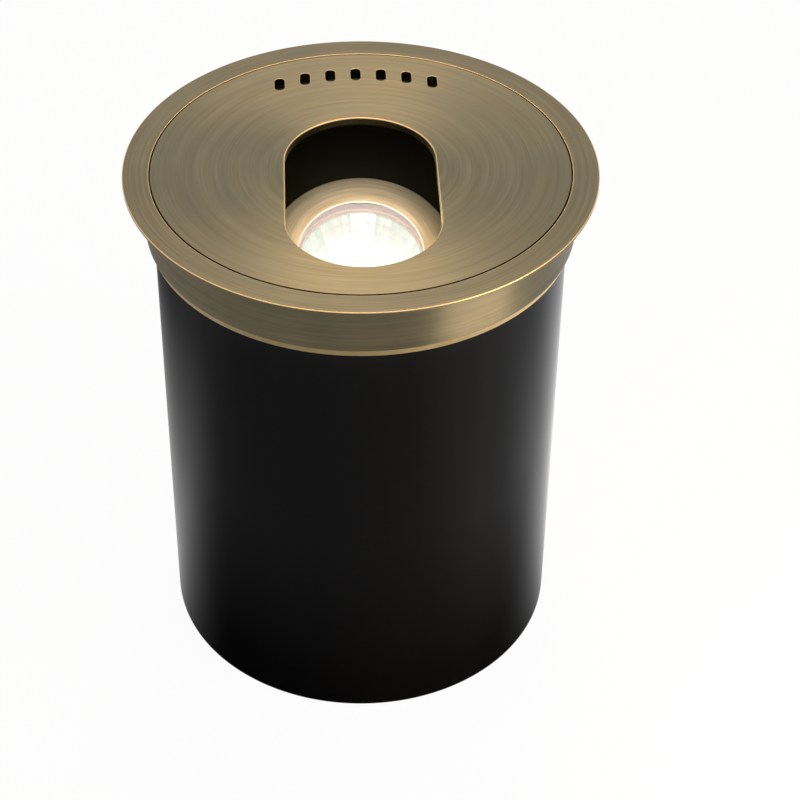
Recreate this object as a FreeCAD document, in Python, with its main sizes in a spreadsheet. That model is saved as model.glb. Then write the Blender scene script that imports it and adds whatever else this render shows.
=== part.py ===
"""In ground well light: a sleeve sunk in the ground, a brass top, and an aimable lamp head inside.

Millimetres, +Z up. The origin is the centre of the sleeve's lower end, and the ground line is the
flange's underside. The lid's long opening points to -Y and its vent slots lie at +Y. The lamp head
hangs from the carrier ring, which turns in the trim ring, and it tilts about an axis along X.

The lamp head's pieces are drawn in the head's own frame: its origin is the middle of the tilt axis,
its Z is the lamp's axis and its X is the tilt axis. One placement then tilts them all alike.
"""
import FreeCAD, Part

import math
import os

import Sketcher
from FreeCAD import Placement, Rotation, Vector

# name, size in millimetres (angles in degrees, counts plain), what it is
DRIVING_SIZES = (
    ("overall_height", 211.0, "base of the sleeve to the top of the lid"),
    ("sleeve_radius", 78.5, "outer radius of the sleeve"),
    ("sleeve_wall", 4.5, "wall of the sleeve"),
    ("push_gap", 0.05, "gap round a pressed, threaded or glued pin"),
    ("glue_gap", 0.1, "gap between the sleeve and what is bonded in it"),
    ("running_gap", 0.3, "gap round a piece that turns, slides or unscrews"),
    ("edge_break", 0.25, "small bevel on visible brass edges"),
    ("spigot_step", 0.3, "how much slimmer the sleeve is inside the trim ring"),
    ("collar_wall", 3.0, "wall of the trim ring's skirt round the sleeve"),
    ("collar_depth", 26.0, "top of the lid to the skirt's lower edge"),
    ("collar_taper", 1.1, "how far the skirt's lower band draws in"),
    ("collar_taper_height", 3.0, "height of that band"),
    ("flange_overhang", 7.5, "flange beyond the skirt"),
    ("flange_thickness", 2.5, "flange at its seat"),
    ("rim_height", 0.9, "flange at its thin outer edge"),
    ("rim_bevel", 2.0, "width of the bevel under the rim"),
    ("rabbet_wall", 2.4, "wall between the lid's pocket and the skirt's outside"),
    ("lid_ledge", 3.6, "width of the ledge that the lid rests on"),
    ("carrier_ledge", 9.5, "width of the ledge that the carrier ring turns on"),
    ("web_thickness", 4.5, "trim ring between the carrier's ledge and the sleeve"),
    ("lid_thickness", 3.0, "lid plate"),
    ("lid_gap", 0.5, "gap between the lid's edge and the trim ring"),
    ("seat_gasket_thickness", 0.5, "gasket under the lid"),
    ("gasket_margin", 0.5, "gasket and glide ring stop this short of the walls beside them"),
    ("opening_half_width", 28.35, "half the width of the lid's opening, and its end radius"),
    ("opening_back", 32.5, "the opening's back end, behind the well's axis"),
    ("opening_margin", 16.2, "lid left beyond the opening's front end"),
    ("opening_bevel", 0.4, "bevel round the opening"),
    ("vent_count", 7, "number of vent slots"),
    ("vent_pitch", 10.0, "slot to slot along X"),
    ("vent_curve", 74.0, "radius of the arc that the slots' middles lie on"),
    ("vent_length", 8.5, "slot over its round ends"),
    ("vent_width", 4.0, "width of a slot"),
    ("vent_inset", 14.7, "lid's edge to the middle slot's middle"),
    ("dowel_radius", 1.5, "pins that index the lid to the carrier ring"),
    ("dowel_depth", 1.5, "depth of a dowel's hole in the lid"),
    ("carrier_headroom", 0.7, "gap between the lid and the carrier ring"),
    ("carrier_thickness", 1.8, "carrier ring plate"),
    ("carrier_width", 5.6, "carrier ring plate, inside to outside"),
    ("glide_thickness", 1.0, "glide ring under the carrier ring"),
    ("screw_radius", 1.5, "shank of the small screws"),
    ("screw_head_radius", 2.9, "head of the small screws"),
    ("screw_hole_gap", 0.2, "gap between a small screw and a clearance hole"),
    ("head_sink", 0.15, "how far a countersunk head lies below its surface"),
    ("ring_screw_inset", 4.0, "web's inner edge to the ring screws"),
    ("ring_screw_length", 14.0, "ring screw over its head"),
    ("lug_width", 14.0, "screw lugs inside the sleeve, along the wall"),
    ("lug_depth", 7.4, "screw lugs, from the sleeve inwards"),
    ("lug_height", 16.0, "screw lugs, downwards from the sleeve's top"),
    ("plate_level", 8.0, "base of the sleeve to the drain plate's underside"),
    ("plate_thickness", 5.0, "drain plate"),
    ("weep_radius", 2.0, "weep holes in the drain plate"),
    ("weep_inner_circle", 30.0, "radius of the inner ring of weep holes"),
    ("weep_outer_circle", 56.0, "radius of the outer ring of weep holes"),
    ("weep_inner_count", 10, "weep holes in the inner ring"),
    ("weep_outer_count", 18, "weep holes in the outer ring"),
    ("cable_bore", 3.5, "radius of the supply cable's way through the grommet"),
    ("grommet_wall", 3.4, "grommet between the cable and the drain plate"),
    ("grommet_lip", 2.6, "how far the grommet's lips lie over the plate"),
    ("grommet_lip_height", 2.0, "height of each lip"),
    ("rest_tilt", 18.0, "lean of the lamp's axis towards -Y"),
    ("pivot_depth", 55.27, "top of the lid to the tilt axis"),
    ("pivot_setback", 2.17, "tilt axis behind the well's axis"),
    ("bezel_reach", 19.0, "tilt axis to the bezel's face"),
    ("bezel_face", 2.5, "thickness of the bezel's face"),
    ("bezel_skirt", 7.0, "bezel's threaded skirt below its face"),
    ("bezel_wall", 2.2, "wall of the bezel's skirt"),
    ("aperture_lap", 1.36, "how far the bezel's face laps over the lamp's rim"),
    ("lens_thickness", 3.0, "glass lens"),
    ("lens_margin", 1.3, "lens stops this short of the bezel's skirt"),
    ("lens_gasket_thickness", 1.0, "gasket between the lens and the cup"),
    ("cup_rim_width", 5.0, "cup's rim, bore to thread"),
    ("cup_collar_height", 11.5, "height of the cup's threaded collar"),
    ("cup_collar_step", 3.0, "collar beyond the cup's plain wall"),
    ("cup_wall", 3.0, "cup's plain wall and floor"),
    ("cup_below_pivot", 46.0, "tilt axis to the cup's underside"),
    ("boss_radius", 6.5, "pivot bosses on the cup"),
    ("boss_height", 5.0, "pivot bosses beyond the cup's collar"),
    ("lamp_radius", 25.3, "rim of the lamp's reflector"),
    ("lamp_rim_height", 2.0, "height of that rim"),
    ("lamp_rim_drop", 1.5, "cup's rim to the lamp's rim"),
    ("lamp_ring_wall", 2.8, "retainer ring between the lamp and the cup"),
    ("lamp_ring_lip", 0.7, "how far the retainer ring reaches under the lamp's rim"),
    ("lamp_ring_floor", 1.5, "thickness of the retainer ring's lip"),
    ("bowl_depth", 24.0, "depth of the reflector's bowl"),
    ("bowl_curve", 45.0, "radius of the bowl's profile"),
    ("bowl_glass", 1.3, "wall of the reflector"),
    ("rim_land", 1.7, "flat front of the reflector's rim"),
    ("throat_radius", 7.0, "bowl at its bottom"),
    ("throat_hole", 5.2, "hole for the capsule"),
    ("capsule_radius", 4.5, "lamp capsule"),
    ("capsule_tip", 8.5, "lamp's rim to the capsule's tip"),
    ("capsule_neck_radius", 3.3, "pinched neck of the capsule"),
    ("capsule_neck_length", 8.0, "neck of the capsule"),
    ("lamp_base_width", 17.0, "ceramic base of the lamp along X"),
    ("lamp_base_depth", 11.0, "ceramic base of the lamp along Y"),
    ("lamp_base_height", 12.7, "ceramic base of the lamp"),
    ("pin_radius", 0.78, "contact pins"),
    ("pin_spacing", 5.3, "contact pins, centre to centre"),
    ("pin_length", 7.5, "contact pins below the lamp's base"),
    ("pin_root", 3.5, "contact pins inside the lamp's base"),
    ("socket_gap", 0.3, "gap between the lamp's base and the socket"),
    ("socket_height", 9.2, "lamp socket"),
    ("socket_width", 19.0, "lamp socket along X"),
    ("socket_depth", 11.0, "lamp socket along Y"),
    ("ear_thickness", 2.5, "mounting ears of the socket"),
    ("ear_reach", 19.5, "ears, from the lamp's axis to their ends"),
    ("ear_screw_place", 16.0, "lamp's axis to the socket screws"),
    ("standoff_radius", 2.9, "hexagonal standoffs over their corners"),
    ("spigot_length", 2.0, "standoff's threaded foot in the cup's floor"),
    ("socket_screw_length", 7.5, "socket screws below their heads"),
    ("pan_head_height", 2.0, "head of the socket screws"),
    ("lead_radius", 0.9, "insulated leads of the socket"),
    ("lead_spacing", 3.2, "leads, centre to centre"),
    ("lead_depth", 1.3, "leads inside the socket"),
    ("gland_radius", 6.0, "threaded barrel of the gland"),
    ("gland_hex_radius", 8.66, "gland's flange and locknut over their corners"),
    ("gland_flange", 3.0, "thickness of the gland's flange"),
    ("gland_seal_thickness", 1.0, "seal under the gland's flange"),
    ("locknut_height", 2.7, "gland's locknut"),
    ("gland_barrel_above", 6.5, "barrel above the seal, through the cup's floor"),
    ("gland_barrel_below", 6.0, "barrel below the flange"),
    ("gland_cap_height", 8.7, "gland's cap"),
    ("gland_cap_radius", 8.0, "gland's cap"),
    ("gland_cap_floor", 2.4, "thickness of the cap's closed end"),
    ("stud_radius", 2.5, "pivot studs"),
    ("stud_root", 7.2, "pivot stud inside the boss"),
    ("stud_tip", 1.5, "pivot stud beyond the thumb nut"),
    ("friction_washer_thickness", 1.5, "washer between boss and hanger"),
    ("hanger_thickness", 1.5, "hanger strap"),
    ("hanger_width", 14.0, "hanger strap"),
    ("foot_gap", 2.3, "hanger's foot to the trim ring's inner edge"),
    ("hanger_below_pivot", 9.0, "tilt axis to the hanger's lower end"),
    ("hanger_bend", 2.0, "inner radius of the hanger's bend"),
    ("tab_width", 16.0, "carrier ring's tabs"),
    ("tab_edge", 4.5, "edge of a tab or foot to the middle of its screw"),
    ("nut_room", 1.0, "hanger's bend to the nearest nut"),
    ("nut_radius", 3.1, "small nuts over their corners"),
    ("nut_height", 2.4, "small nuts"),
    ("screw_proud", 0.5, "hanger screws beyond their nuts"),
    ("knob_washer_radius", 7.0, "washer under a thumb nut"),
    ("knob_washer_thickness", 1.0, "washer under a thumb nut"),
    ("knob_radius", 8.0, "knurled thumb nuts"),
    ("knob_length", 10.0, "thumb nut along the stud"),
    ("knob_neck_radius", 6.2, "thumb nut's plain end by the washer"),
    ("knob_neck_length", 1.5, "thumb nut's plain end by the washer"),
    ("knurl_count", 24, "grooves round a thumb nut"),
    ("knurl_depth", 0.6, "depth of a groove"),
    ("knurl_half_width", 0.7, "half the width of a groove at the rim"),
)

SIDES = (("left", -1), ("right", 1))
LUG_ANGLES = (30.0, 150.0, 270.0)

# Heights above the sleeve's lower end
LID_UNDER = "(Sizes.overall_height - Sizes.lid_thickness)"
LID_SEAT = f"({LID_UNDER} - Sizes.seat_gasket_thickness)"
CARRIER_TOP = f"({LID_UNDER} - Sizes.carrier_headroom)"
CARRIER_UNDER = f"({CARRIER_TOP} - Sizes.carrier_thickness)"
GLIDE_SEAT = f"({CARRIER_UNDER} - Sizes.glide_thickness)"
SLEEVE_TOP = f"({GLIDE_SEAT} - Sizes.web_thickness)"
SKIRT_END = "(Sizes.overall_height - Sizes.collar_depth)"
FLANGE_SEAT = "(Sizes.overall_height - Sizes.flange_thickness)"
PLATE_TOP = "(Sizes.plate_level + Sizes.plate_thickness)"
PIVOT_LEVEL = "(Sizes.overall_height - Sizes.pivot_depth)"

# Radii about the well's axis
SLEEVE_BORE = "(Sizes.sleeve_radius - Sizes.sleeve_wall)"
BONDED = f"({SLEEVE_BORE} - Sizes.glue_gap)"
SPIGOT = "(Sizes.sleeve_radius - Sizes.spigot_step)"
SKIRT_BORE = f"({SPIGOT} + Sizes.running_gap)"
COLLAR = f"({SKIRT_BORE} + Sizes.collar_wall)"
FLANGE = f"({COLLAR} + Sizes.flange_overhang)"
LID_POCKET = f"({COLLAR} - Sizes.rabbet_wall)"
LID_EDGE = f"({LID_POCKET} - Sizes.lid_gap)"
CARRIER_POCKET = f"({LID_POCKET} - Sizes.lid_ledge)"
WEB_EDGE = f"({CARRIER_POCKET} - Sizes.carrier_ledge)"
CARRIER_OUTER = f"({CARRIER_POCKET} - Sizes.running_gap)"
CARRIER_INNER = f"({CARRIER_OUTER} - Sizes.carrier_width)"
DOWEL_CIRCLE = f"({CARRIER_OUTER} - Sizes.carrier_width / 2)"
RING_SCREW_CIRCLE = f"({WEB_EDGE} + Sizes.ring_screw_inset)"

# Radii about the lamp's axis
RETAINER = "(Sizes.lamp_radius + Sizes.push_gap + Sizes.lamp_ring_wall)"
CUP_BORE = f"({RETAINER} + Sizes.push_gap)"
CUP_COLLAR = f"({CUP_BORE} + Sizes.cup_rim_width)"
CUP_WAIST = f"({CUP_COLLAR} - Sizes.cup_collar_step)"
CUP_INSIDE = f"({CUP_WAIST} - Sizes.cup_wall)"
BEZEL_BORE = f"({CUP_COLLAR} + Sizes.running_gap)"
BEZEL_EDGE = f"({BEZEL_BORE} + Sizes.bezel_wall)"
APERTURE = "(Sizes.lamp_radius - Sizes.aperture_lap)"
LENS_EDGE = f"({BEZEL_BORE} - Sizes.lens_margin)"

# Heights along the lamp's axis, from the tilt axis
FACE_UNDER = "(Sizes.bezel_reach - Sizes.bezel_face)"
LENS_UNDER = f"({FACE_UNDER} - Sizes.lens_thickness)"
CUP_RIM = f"({LENS_UNDER} - Sizes.lens_gasket_thickness)"
LAMP_RIM = f"({CUP_RIM} - Sizes.lamp_rim_drop)"
LAMP_SEAT = f"({LAMP_RIM} - Sizes.lamp_rim_height)"
SHELF = f"({LAMP_SEAT} - Sizes.lamp_ring_floor)"
BOWL_FLOOR = f"({LAMP_RIM} - Sizes.bowl_depth)"
BOWL_BACK = f"({BOWL_FLOOR} - Sizes.bowl_glass)"
LAMP_BASE_END = f"({BOWL_BACK} - Sizes.lamp_base_height)"
SOCKET_TOP = f"({LAMP_BASE_END} - Sizes.socket_gap)"
SOCKET_UNDER = f"({SOCKET_TOP} - Sizes.socket_height)"
CUP_UNDER = "(-Sizes.cup_below_pivot)"
CUP_FLOOR = f"({CUP_UNDER} + Sizes.cup_wall)"
GLAND_FLANGE_TOP = f"({CUP_UNDER} - Sizes.gland_seal_thickness)"
GLAND_FLANGE_UNDER = f"({GLAND_FLANGE_TOP} - Sizes.gland_flange)"
GLAND_END = f"({GLAND_FLANGE_UNDER} - Sizes.gland_barrel_below)"

# Distances along the tilt axis, from the lamp's axis
BOSS_FACE = f"({CUP_COLLAR} + Sizes.boss_height)"
HANGER_INNER = f"({BOSS_FACE} + Sizes.friction_washer_thickness)"
HANGER_OUTER = f"({HANGER_INNER} + Sizes.hanger_thickness)"
KNOB_START = f"({HANGER_OUTER} + Sizes.knob_washer_thickness)"
KNOB_END = f"({KNOB_START} + Sizes.knob_length)"
FOOT_END = f"({WEB_EDGE} - Sizes.foot_gap)"
FIRST_SCREW = f"({HANGER_OUTER} + Sizes.hanger_bend + Sizes.nut_radius + Sizes.nut_room)"
SECOND_SCREW = f"({FOOT_END} - Sizes.tab_edge)"

# Holes
PIVOT_HOLE = "(Sizes.stud_radius + Sizes.running_gap)"
SCREW_HOLE = "(Sizes.screw_radius + Sizes.screw_hole_gap)"
THREADED_HOLE = "(Sizes.screw_radius + Sizes.push_gap)"

document = FreeCAD.newDocument("WellLight")
sheet = document.addObject("Spreadsheet::Sheet", "Sizes")
subparts = []


def fill_sheet():
    """Write the driving sizes, each in its own named cell."""
    for row, (name, size, meaning) in enumerate(DRIVING_SIZES, start=1):
        sheet.set(f"A{row}", name)
        sheet.set(f"B{row}", str(size))
        sheet.set(f"C{row}", meaning)
        sheet.setAlias(f"B{row}", name)
    document.recompute()


def value(expression):
    """The number that an expression of the sheet's sizes gives."""
    return float(sheet.evalExpression(str(expression)))


def subpart(item, label):
    """Name a finished sub-part and list it for writing."""
    item.Label = label
    subparts.append(item)
    return item


def place_in_head(item):
    """Tilt and raise a piece from the lamp head's frame into the well's."""
    item.Placement = Placement(Vector(0, 0, 0), Rotation(Vector(1, 0, 0), value("Sizes.rest_tilt")))
    item.setExpression("Placement.Rotation.Angle", "Sizes.rest_tilt")
    item.setExpression("Placement.Base.y", "Sizes.pivot_setback")
    item.setExpression("Placement.Base.z", PIVOT_LEVEL)
    return item


# Sketches


def origin_feature(body, role):
    """One of a body's own origin planes or axes."""
    return next(item for item in body.Origin.OriginFeatures if item.Role == role)


def new_body(name):
    """An empty solid body."""
    return document.addObject("PartDesign::Body", name)


def sketch_on(body, name, plane, lift="0"):
    """A sketch on one of the body's origin planes, lifted along its normal."""
    sketch = body.newObject("Sketcher::SketchObject", name)
    sketch.AttachmentSupport = [(origin_feature(body, plane), "")]
    sketch.MapMode = "FlatFace"
    sketch.AttachmentOffset = Placement(Vector(0, 0, value(lift)), Rotation())
    sketch.setExpression("AttachmentOffset.Base.z", str(lift))
    return sketch


def pin_point(sketch, geometry, position, across, upward):
    """Fix a sketch point at two distances from the sketch's origin."""
    for kind, expression in (("DistanceX", across), ("DistanceY", upward)):
        rule = Sketcher.Constraint(kind, -1, 1, geometry, position, value(expression))
        index = sketch.addConstraint(rule)
        sketch.setExpression(f"Constraints[{index}]", str(expression))


def arc_between(start, end, radius, side):
    """The short arc from start to end whose centre lies left (1) or right (-1) of that way."""
    chord = end.sub(start)
    middle = start.add(end).multiply(0.5)
    left = Vector(-chord.y, chord.x, 0).normalize()
    half = chord.Length / 2
    rise = radius - math.sqrt(radius * radius - half * half)
    return Part.Arc(start, middle.sub(left.multiply(side * rise)), end)


def ends_of(sketch, geometry, start):
    """The two end positions of a sketch line or arc, the one at the given start first."""
    if sketch.getPoint(geometry, 1).distanceToPoint(start) < 1e-6:
        return 1, 2
    return 2, 1


def outline(sketch, corners):
    """A closed outline through corners, each a pair of expressions.

    A corner with two more items, a radius and a side, starts an arc to the next corner.
    """
    spots = [Vector(value(corner[0]), value(corner[1]), 0) for corner in corners]
    stretches = []
    for index, corner in enumerate(corners):
        start = spots[index]
        end = spots[(index + 1) % len(corners)]
        if len(corner) == 2:
            stretches.append(sketch.addGeometry(Part.LineSegment(start, end), False))
        else:
            arc = arc_between(start, end, value(corner[2]), corner[3])
            stretches.append(sketch.addGeometry(arc, False))
    order = [ends_of(sketch, stretch, spot) for stretch, spot in zip(stretches, spots)]
    for index, corner in enumerate(corners):
        following = (index + 1) % len(corners)
        joint = (stretches[index], order[index][1], stretches[following], order[following][0])
        sketch.addConstraint(Sketcher.Constraint("Coincident", *joint))
    for index, corner in enumerate(corners):
        pin_point(sketch, stretches[index], order[index][0], corner[0], corner[1])
        if len(corner) > 2:
            rule = Sketcher.Constraint("Radius", stretches[index], value(corner[2]))
            place = sketch.addConstraint(rule)
            sketch.setExpression(f"Constraints[{place}]", corner[2])
    return sketch


def box_outline(sketch, left, right, front, back):
    """A closed rectangle between four distances from the sketch's origin."""
    return outline(sketch, [(left, front), (right, front), (right, back), (left, back)])


def circles(sketch, centres, radius):
    """Circles of one radius at centres given as pairs of expressions."""
    for across, upward in centres:
        centre = Vector(value(across), value(upward), 0)
        ring = sketch.addGeometry(Part.Circle(centre, Vector(0, 0, 1), value(radius)), False)
        pin_point(sketch, ring, 3, across, upward)
        index = sketch.addConstraint(Sketcher.Constraint("Radius", ring, value(radius)))
        sketch.setExpression(f"Constraints[{index}]", str(radius))
    return sketch


def long_hole(sketch, near, far, radius, across="0"):
    """A round-ended hole along the sketch's Y, between two end centres."""
    low = Vector(value(across), value(near), 0)
    high = Vector(value(across), value(far), 0)
    aside = Vector(value(radius), 0, 0)
    axis = Vector(0, 0, 1)
    top_circle = Part.Circle(high, axis, aside.x)
    low_circle = Part.Circle(low, axis, aside.x)
    top = sketch.addGeometry(Part.ArcOfCircle(top_circle, 0, math.pi), False)
    bottom = sketch.addGeometry(Part.ArcOfCircle(low_circle, math.pi, 2 * math.pi), False)
    left = sketch.addGeometry(Part.LineSegment(high.sub(aside), low.sub(aside)), False)
    right = sketch.addGeometry(Part.LineSegment(low.add(aside), high.add(aside)), False)
    for joint in ((top, 2, left, 1), (left, 2, bottom, 1), (bottom, 2, right, 1), (right, 2, top, 1)):
        sketch.addConstraint(Sketcher.Constraint("Tangent", *joint))
    sketch.addConstraint(Sketcher.Constraint("Equal", top, bottom))
    for arc, height in ((top, far), (bottom, near)):
        pin_point(sketch, arc, 3, across, height)
    index = sketch.addConstraint(Sketcher.Constraint("Radius", top, aside.x))
    sketch.setExpression(f"Constraints[{index}]", str(radius))
    return sketch


# Features


def turned(name, corners, axis="V_Axis"):
    """A body turned from an outline in its XZ plane, about Z (V_Axis) or X (H_Axis)."""
    body = new_body(name)
    profile = outline(sketch_on(body, f"{name}_profile", "XZ_Plane"), corners)
    turn = body.newObject("PartDesign::Revolution", f"{name}_turn")
    turn.Profile = profile
    turn.ReferenceAxis = (profile, [axis])
    turn.Angle = 360
    document.recompute()
    return body


def padded(body, sketch, height):
    """Raise a sketch by a height, along its normal."""
    pad = body.newObject("PartDesign::Pad", f"{sketch.Name}_pad")
    pad.Profile = sketch
    pad.Length = value(height)
    pad.setExpression("Length", str(height))
    document.recompute()
    return pad


def checked_cut(feature, volume_before):
    """Recompute a cut, and stop if it has taken nothing away."""
    document.recompute()
    if not feature.Shape.Volume < volume_before:
        raise RuntimeError(f"{feature.Name} cuts nothing")
    return feature


def cut_through(body, sketch):
    """Cut a sketch through the whole body, both ways."""
    before = body.Shape.Volume
    pocket = body.newObject("PartDesign::Pocket", f"{sketch.Name}_cut")
    pocket.Profile = sketch
    pocket.Type = "ThroughAll"
    pocket.SideType = "Symmetric"
    return checked_cut(pocket, before)


def cut_blind(body, sketch, depth, along_normal=False):
    """Cut a sketch to a depth, against its normal or along it."""
    before = body.Shape.Volume
    pocket = body.newObject("PartDesign::Pocket", f"{sketch.Name}_cut")
    pocket.Profile = sketch
    pocket.Type = "Length"
    pocket.Reversed = along_normal
    pocket.Length = value(depth)
    pocket.setExpression("Length", str(depth))
    return checked_cut(pocket, before)


def drill(body, name, level, centres, radius, depth, upward=False):
    """Round blind holes along Z, from a level down or up."""
    sketch = circles(sketch_on(body, name, "XY_Plane", lift=level), centres, radius)
    return cut_blind(body, sketch, depth, along_normal=upward)


def countersink(body, sketch):
    """Countersunk clearance holes for the small screws, down from the sketch's plane."""
    before = body.Shape.Volume
    hole = body.newObject("PartDesign::Hole", f"{sketch.Name}_sink")
    hole.Profile = sketch
    hole.DepthType = "ThroughAll"
    hole.ThreadType = "None"
    hole.HoleCutType = "Countersink"
    hole.HoleCutCustomValues = True
    hole.setExpression("Diameter", f"2 * {SCREW_HOLE}")
    sink = "2 * (Sizes.screw_head_radius + Sizes.head_sink + Sizes.push_gap)"
    hole.setExpression("HoleCutDiameter", sink)
    hole.HoleCutCountersinkAngle = 90
    return checked_cut(hole, before)


def repeat_round(body, feature, axis, count, extent="360"):
    """Repeat a cut about one of the body's axes, spread over an angle."""
    before = body.Shape.Volume
    pattern = body.newObject("PartDesign::PolarPattern", f"{feature.Name}_round")
    pattern.Originals = [feature]
    pattern.Axis = (origin_feature(body, axis), [""])
    pattern.Angle = value(extent)
    pattern.setExpression("Angle", str(extent))
    pattern.Occurrences = round(value(count))
    pattern.setExpression("Occurrences", str(count))
    body.Tip = pattern
    return checked_cut(pattern, before)


def mirror_across(body, features, plane):
    """Mirror features of a body across one of its origin planes."""
    mirror = body.newObject("PartDesign::Mirrored", f"{features[-1].Name}_mirror")
    mirror.Originals = features
    mirror.MirrorPlane = (origin_feature(body, plane), [""])
    body.Tip = mirror
    document.recompute()
    return mirror


def edges_where(shape, test):
    """Names of the edges that pass a test."""
    return [f"Edge{number}" for number, edge in enumerate(shape.Edges, start=1) if test(edge)]


def dress(body, kind, names, prop, size):
    """A fillet or chamfer on named edges of the body's last feature."""
    base = body.Tip
    feature = body.newObject(f"PartDesign::{kind}", f"{base.Name}_{kind}")
    feature.Base = (base, names)
    setattr(feature, prop, value(size))
    feature.setExpression(prop, str(size))
    document.recompute()
    return feature


# Small hardware, made of plain cylinders, cones and prisms


def rod(name, radius, start, end, centre=("0", "0")):
    """A round rod along Z."""
    item = document.addObject("Part::Cylinder", name)
    item.setExpression("Radius", str(radius))
    item.setExpression("Height", f"{end} - {start}")
    item.setExpression("Placement.Base.x", centre[0])
    item.setExpression("Placement.Base.y", centre[1])
    item.setExpression("Placement.Base.z", str(start))
    return item


def hex_bar(name, corner_radius, start, end, centre=("0", "0")):
    """A hexagonal bar along Z."""
    item = document.addObject("Part::Prism", name)
    item.Polygon = 6
    item.setExpression("Circumradius", str(corner_radius))
    item.setExpression("Height", f"{end} - {start}")
    item.setExpression("Placement.Base.x", centre[0])
    item.setExpression("Placement.Base.y", centre[1])
    item.setExpression("Placement.Base.z", str(start))
    return item


def fused(name, shapes):
    """Several solids joined into one."""
    item = document.addObject("Part::MultiFuse", name)
    item.Shapes = shapes
    return item


def less(name, base, tool):
    """One solid with another taken out of it."""
    item = document.addObject("Part::Cut", name)
    item.Base = base
    item.Tool = tool
    return item


def group(label, items):
    """Alike fasteners as one sub-part of separate solids."""
    item = document.addObject("Part::Compound", label)
    item.Links = items
    document.recompute()
    return subpart(item, label)


def countersunk_screw(name, surface, length, centre):
    """A small screw whose head lies just below a surface, pointing down."""
    top = f"({surface} - Sizes.head_sink)"
    cone = document.addObject("Part::Cone", f"{name}_cone")
    cone_height = "(Sizes.screw_head_radius - Sizes.screw_radius)"
    cone.setExpression("Radius1", "Sizes.screw_radius")
    cone.setExpression("Radius2", "Sizes.screw_head_radius")
    cone.setExpression("Height", cone_height)
    cone.setExpression("Placement.Base.x", centre[0])
    cone.setExpression("Placement.Base.y", centre[1])
    cone.setExpression("Placement.Base.z", f"{top} - {cone_height}")
    low = f"({top} - {length})"
    shank = rod(f"{name}_shank", "Sizes.screw_radius", low, f"({top} - {cone_height})", centre)
    return fused(name, [cone, shank])


def hex_nut(name, corner_radius, bore, start, end, centre=("0", "0")):
    """A hexagonal nut along Z."""
    blank = hex_bar(f"{name}_blank", corner_radius, start, end, centre)
    return less(name, blank, rod(f"{name}_bore", bore, start, end, centre))


# The well


def make_sleeve():
    """Plastic tube from the base to under the trim ring, a little slimmer inside its skirt."""
    shoulder = f"({SKIRT_END} - Sizes.running_gap)"
    corners = [
        (SLEEVE_BORE, "0"),
        ("Sizes.sleeve_radius - Sizes.edge_break", "0"),
        ("Sizes.sleeve_radius", "Sizes.edge_break"),
        ("Sizes.sleeve_radius", shoulder),
        (SPIGOT, shoulder),
        (SPIGOT, SLEEVE_TOP),
        (SLEEVE_BORE, SLEEVE_TOP),
    ]
    return subpart(turned("sleeve", corners), "sleeve")


def ring_screw_centre(angle):
    """Where a ring screw stands, for its angle round the well."""
    return (f"({RING_SCREW_CIRCLE} * cos({angle}))", f"({RING_SCREW_CIRCLE} * sin({angle}))")


def make_trim_ring():
    """Flange, skirt and stepped seat turned in one piece, with three countersunk holes."""
    corners = [
        (WEB_EDGE, SLEEVE_TOP),
        (SKIRT_BORE, SLEEVE_TOP),
        (SKIRT_BORE, SKIRT_END),
        (f"{COLLAR} - Sizes.collar_taper", SKIRT_END),
        (COLLAR, f"{SKIRT_END} + Sizes.collar_taper_height"),
        (COLLAR, FLANGE_SEAT),
        (f"{FLANGE} - Sizes.rim_bevel", FLANGE_SEAT),
        (FLANGE, "Sizes.overall_height - Sizes.rim_height"),
        (FLANGE, "Sizes.overall_height - Sizes.edge_break"),
        (f"{FLANGE} - Sizes.edge_break", "Sizes.overall_height"),
        (f"{LID_POCKET} + Sizes.edge_break", "Sizes.overall_height"),
        (LID_POCKET, "Sizes.overall_height - Sizes.edge_break"),
        (LID_POCKET, LID_SEAT),
        (CARRIER_POCKET, LID_SEAT),
        (CARRIER_POCKET, GLIDE_SEAT),
        (WEB_EDGE, GLIDE_SEAT),
    ]
    body = turned("trim_ring", corners)
    sketch = sketch_on(body, "ring_screw_hole", "XY_Plane", lift=GLIDE_SEAT)
    hole = countersink(body, circles(sketch, [ring_screw_centre(LUG_ANGLES[0])], SCREW_HOLE))
    repeat_round(body, hole, "Z_Axis", len(LUG_ANGLES))
    return subpart(body, "trim_ring")


def make_seat_gasket():
    """Flat gasket on the ledge, under the lid."""
    inner = f"{CARRIER_POCKET} + Sizes.gasket_margin"
    outer = f"{LID_POCKET} - Sizes.gasket_margin"
    corners = [(inner, LID_SEAT), (outer, LID_SEAT), (outer, LID_UNDER), (inner, LID_UNDER)]
    return subpart(turned("seat_gasket", corners), "seat_gasket")


def make_glide_ring():
    """Slippery ring that the carrier ring turns on."""
    inner = f"{WEB_EDGE} + Sizes.gasket_margin"
    outer = f"{CARRIER_POCKET} - Sizes.gasket_margin"
    corners = [(inner, GLIDE_SEAT), (outer, GLIDE_SEAT), (outer, CARRIER_UNDER), (inner, CARRIER_UNDER)]
    return subpart(turned("glide_ring", corners), "glide_ring")


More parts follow.
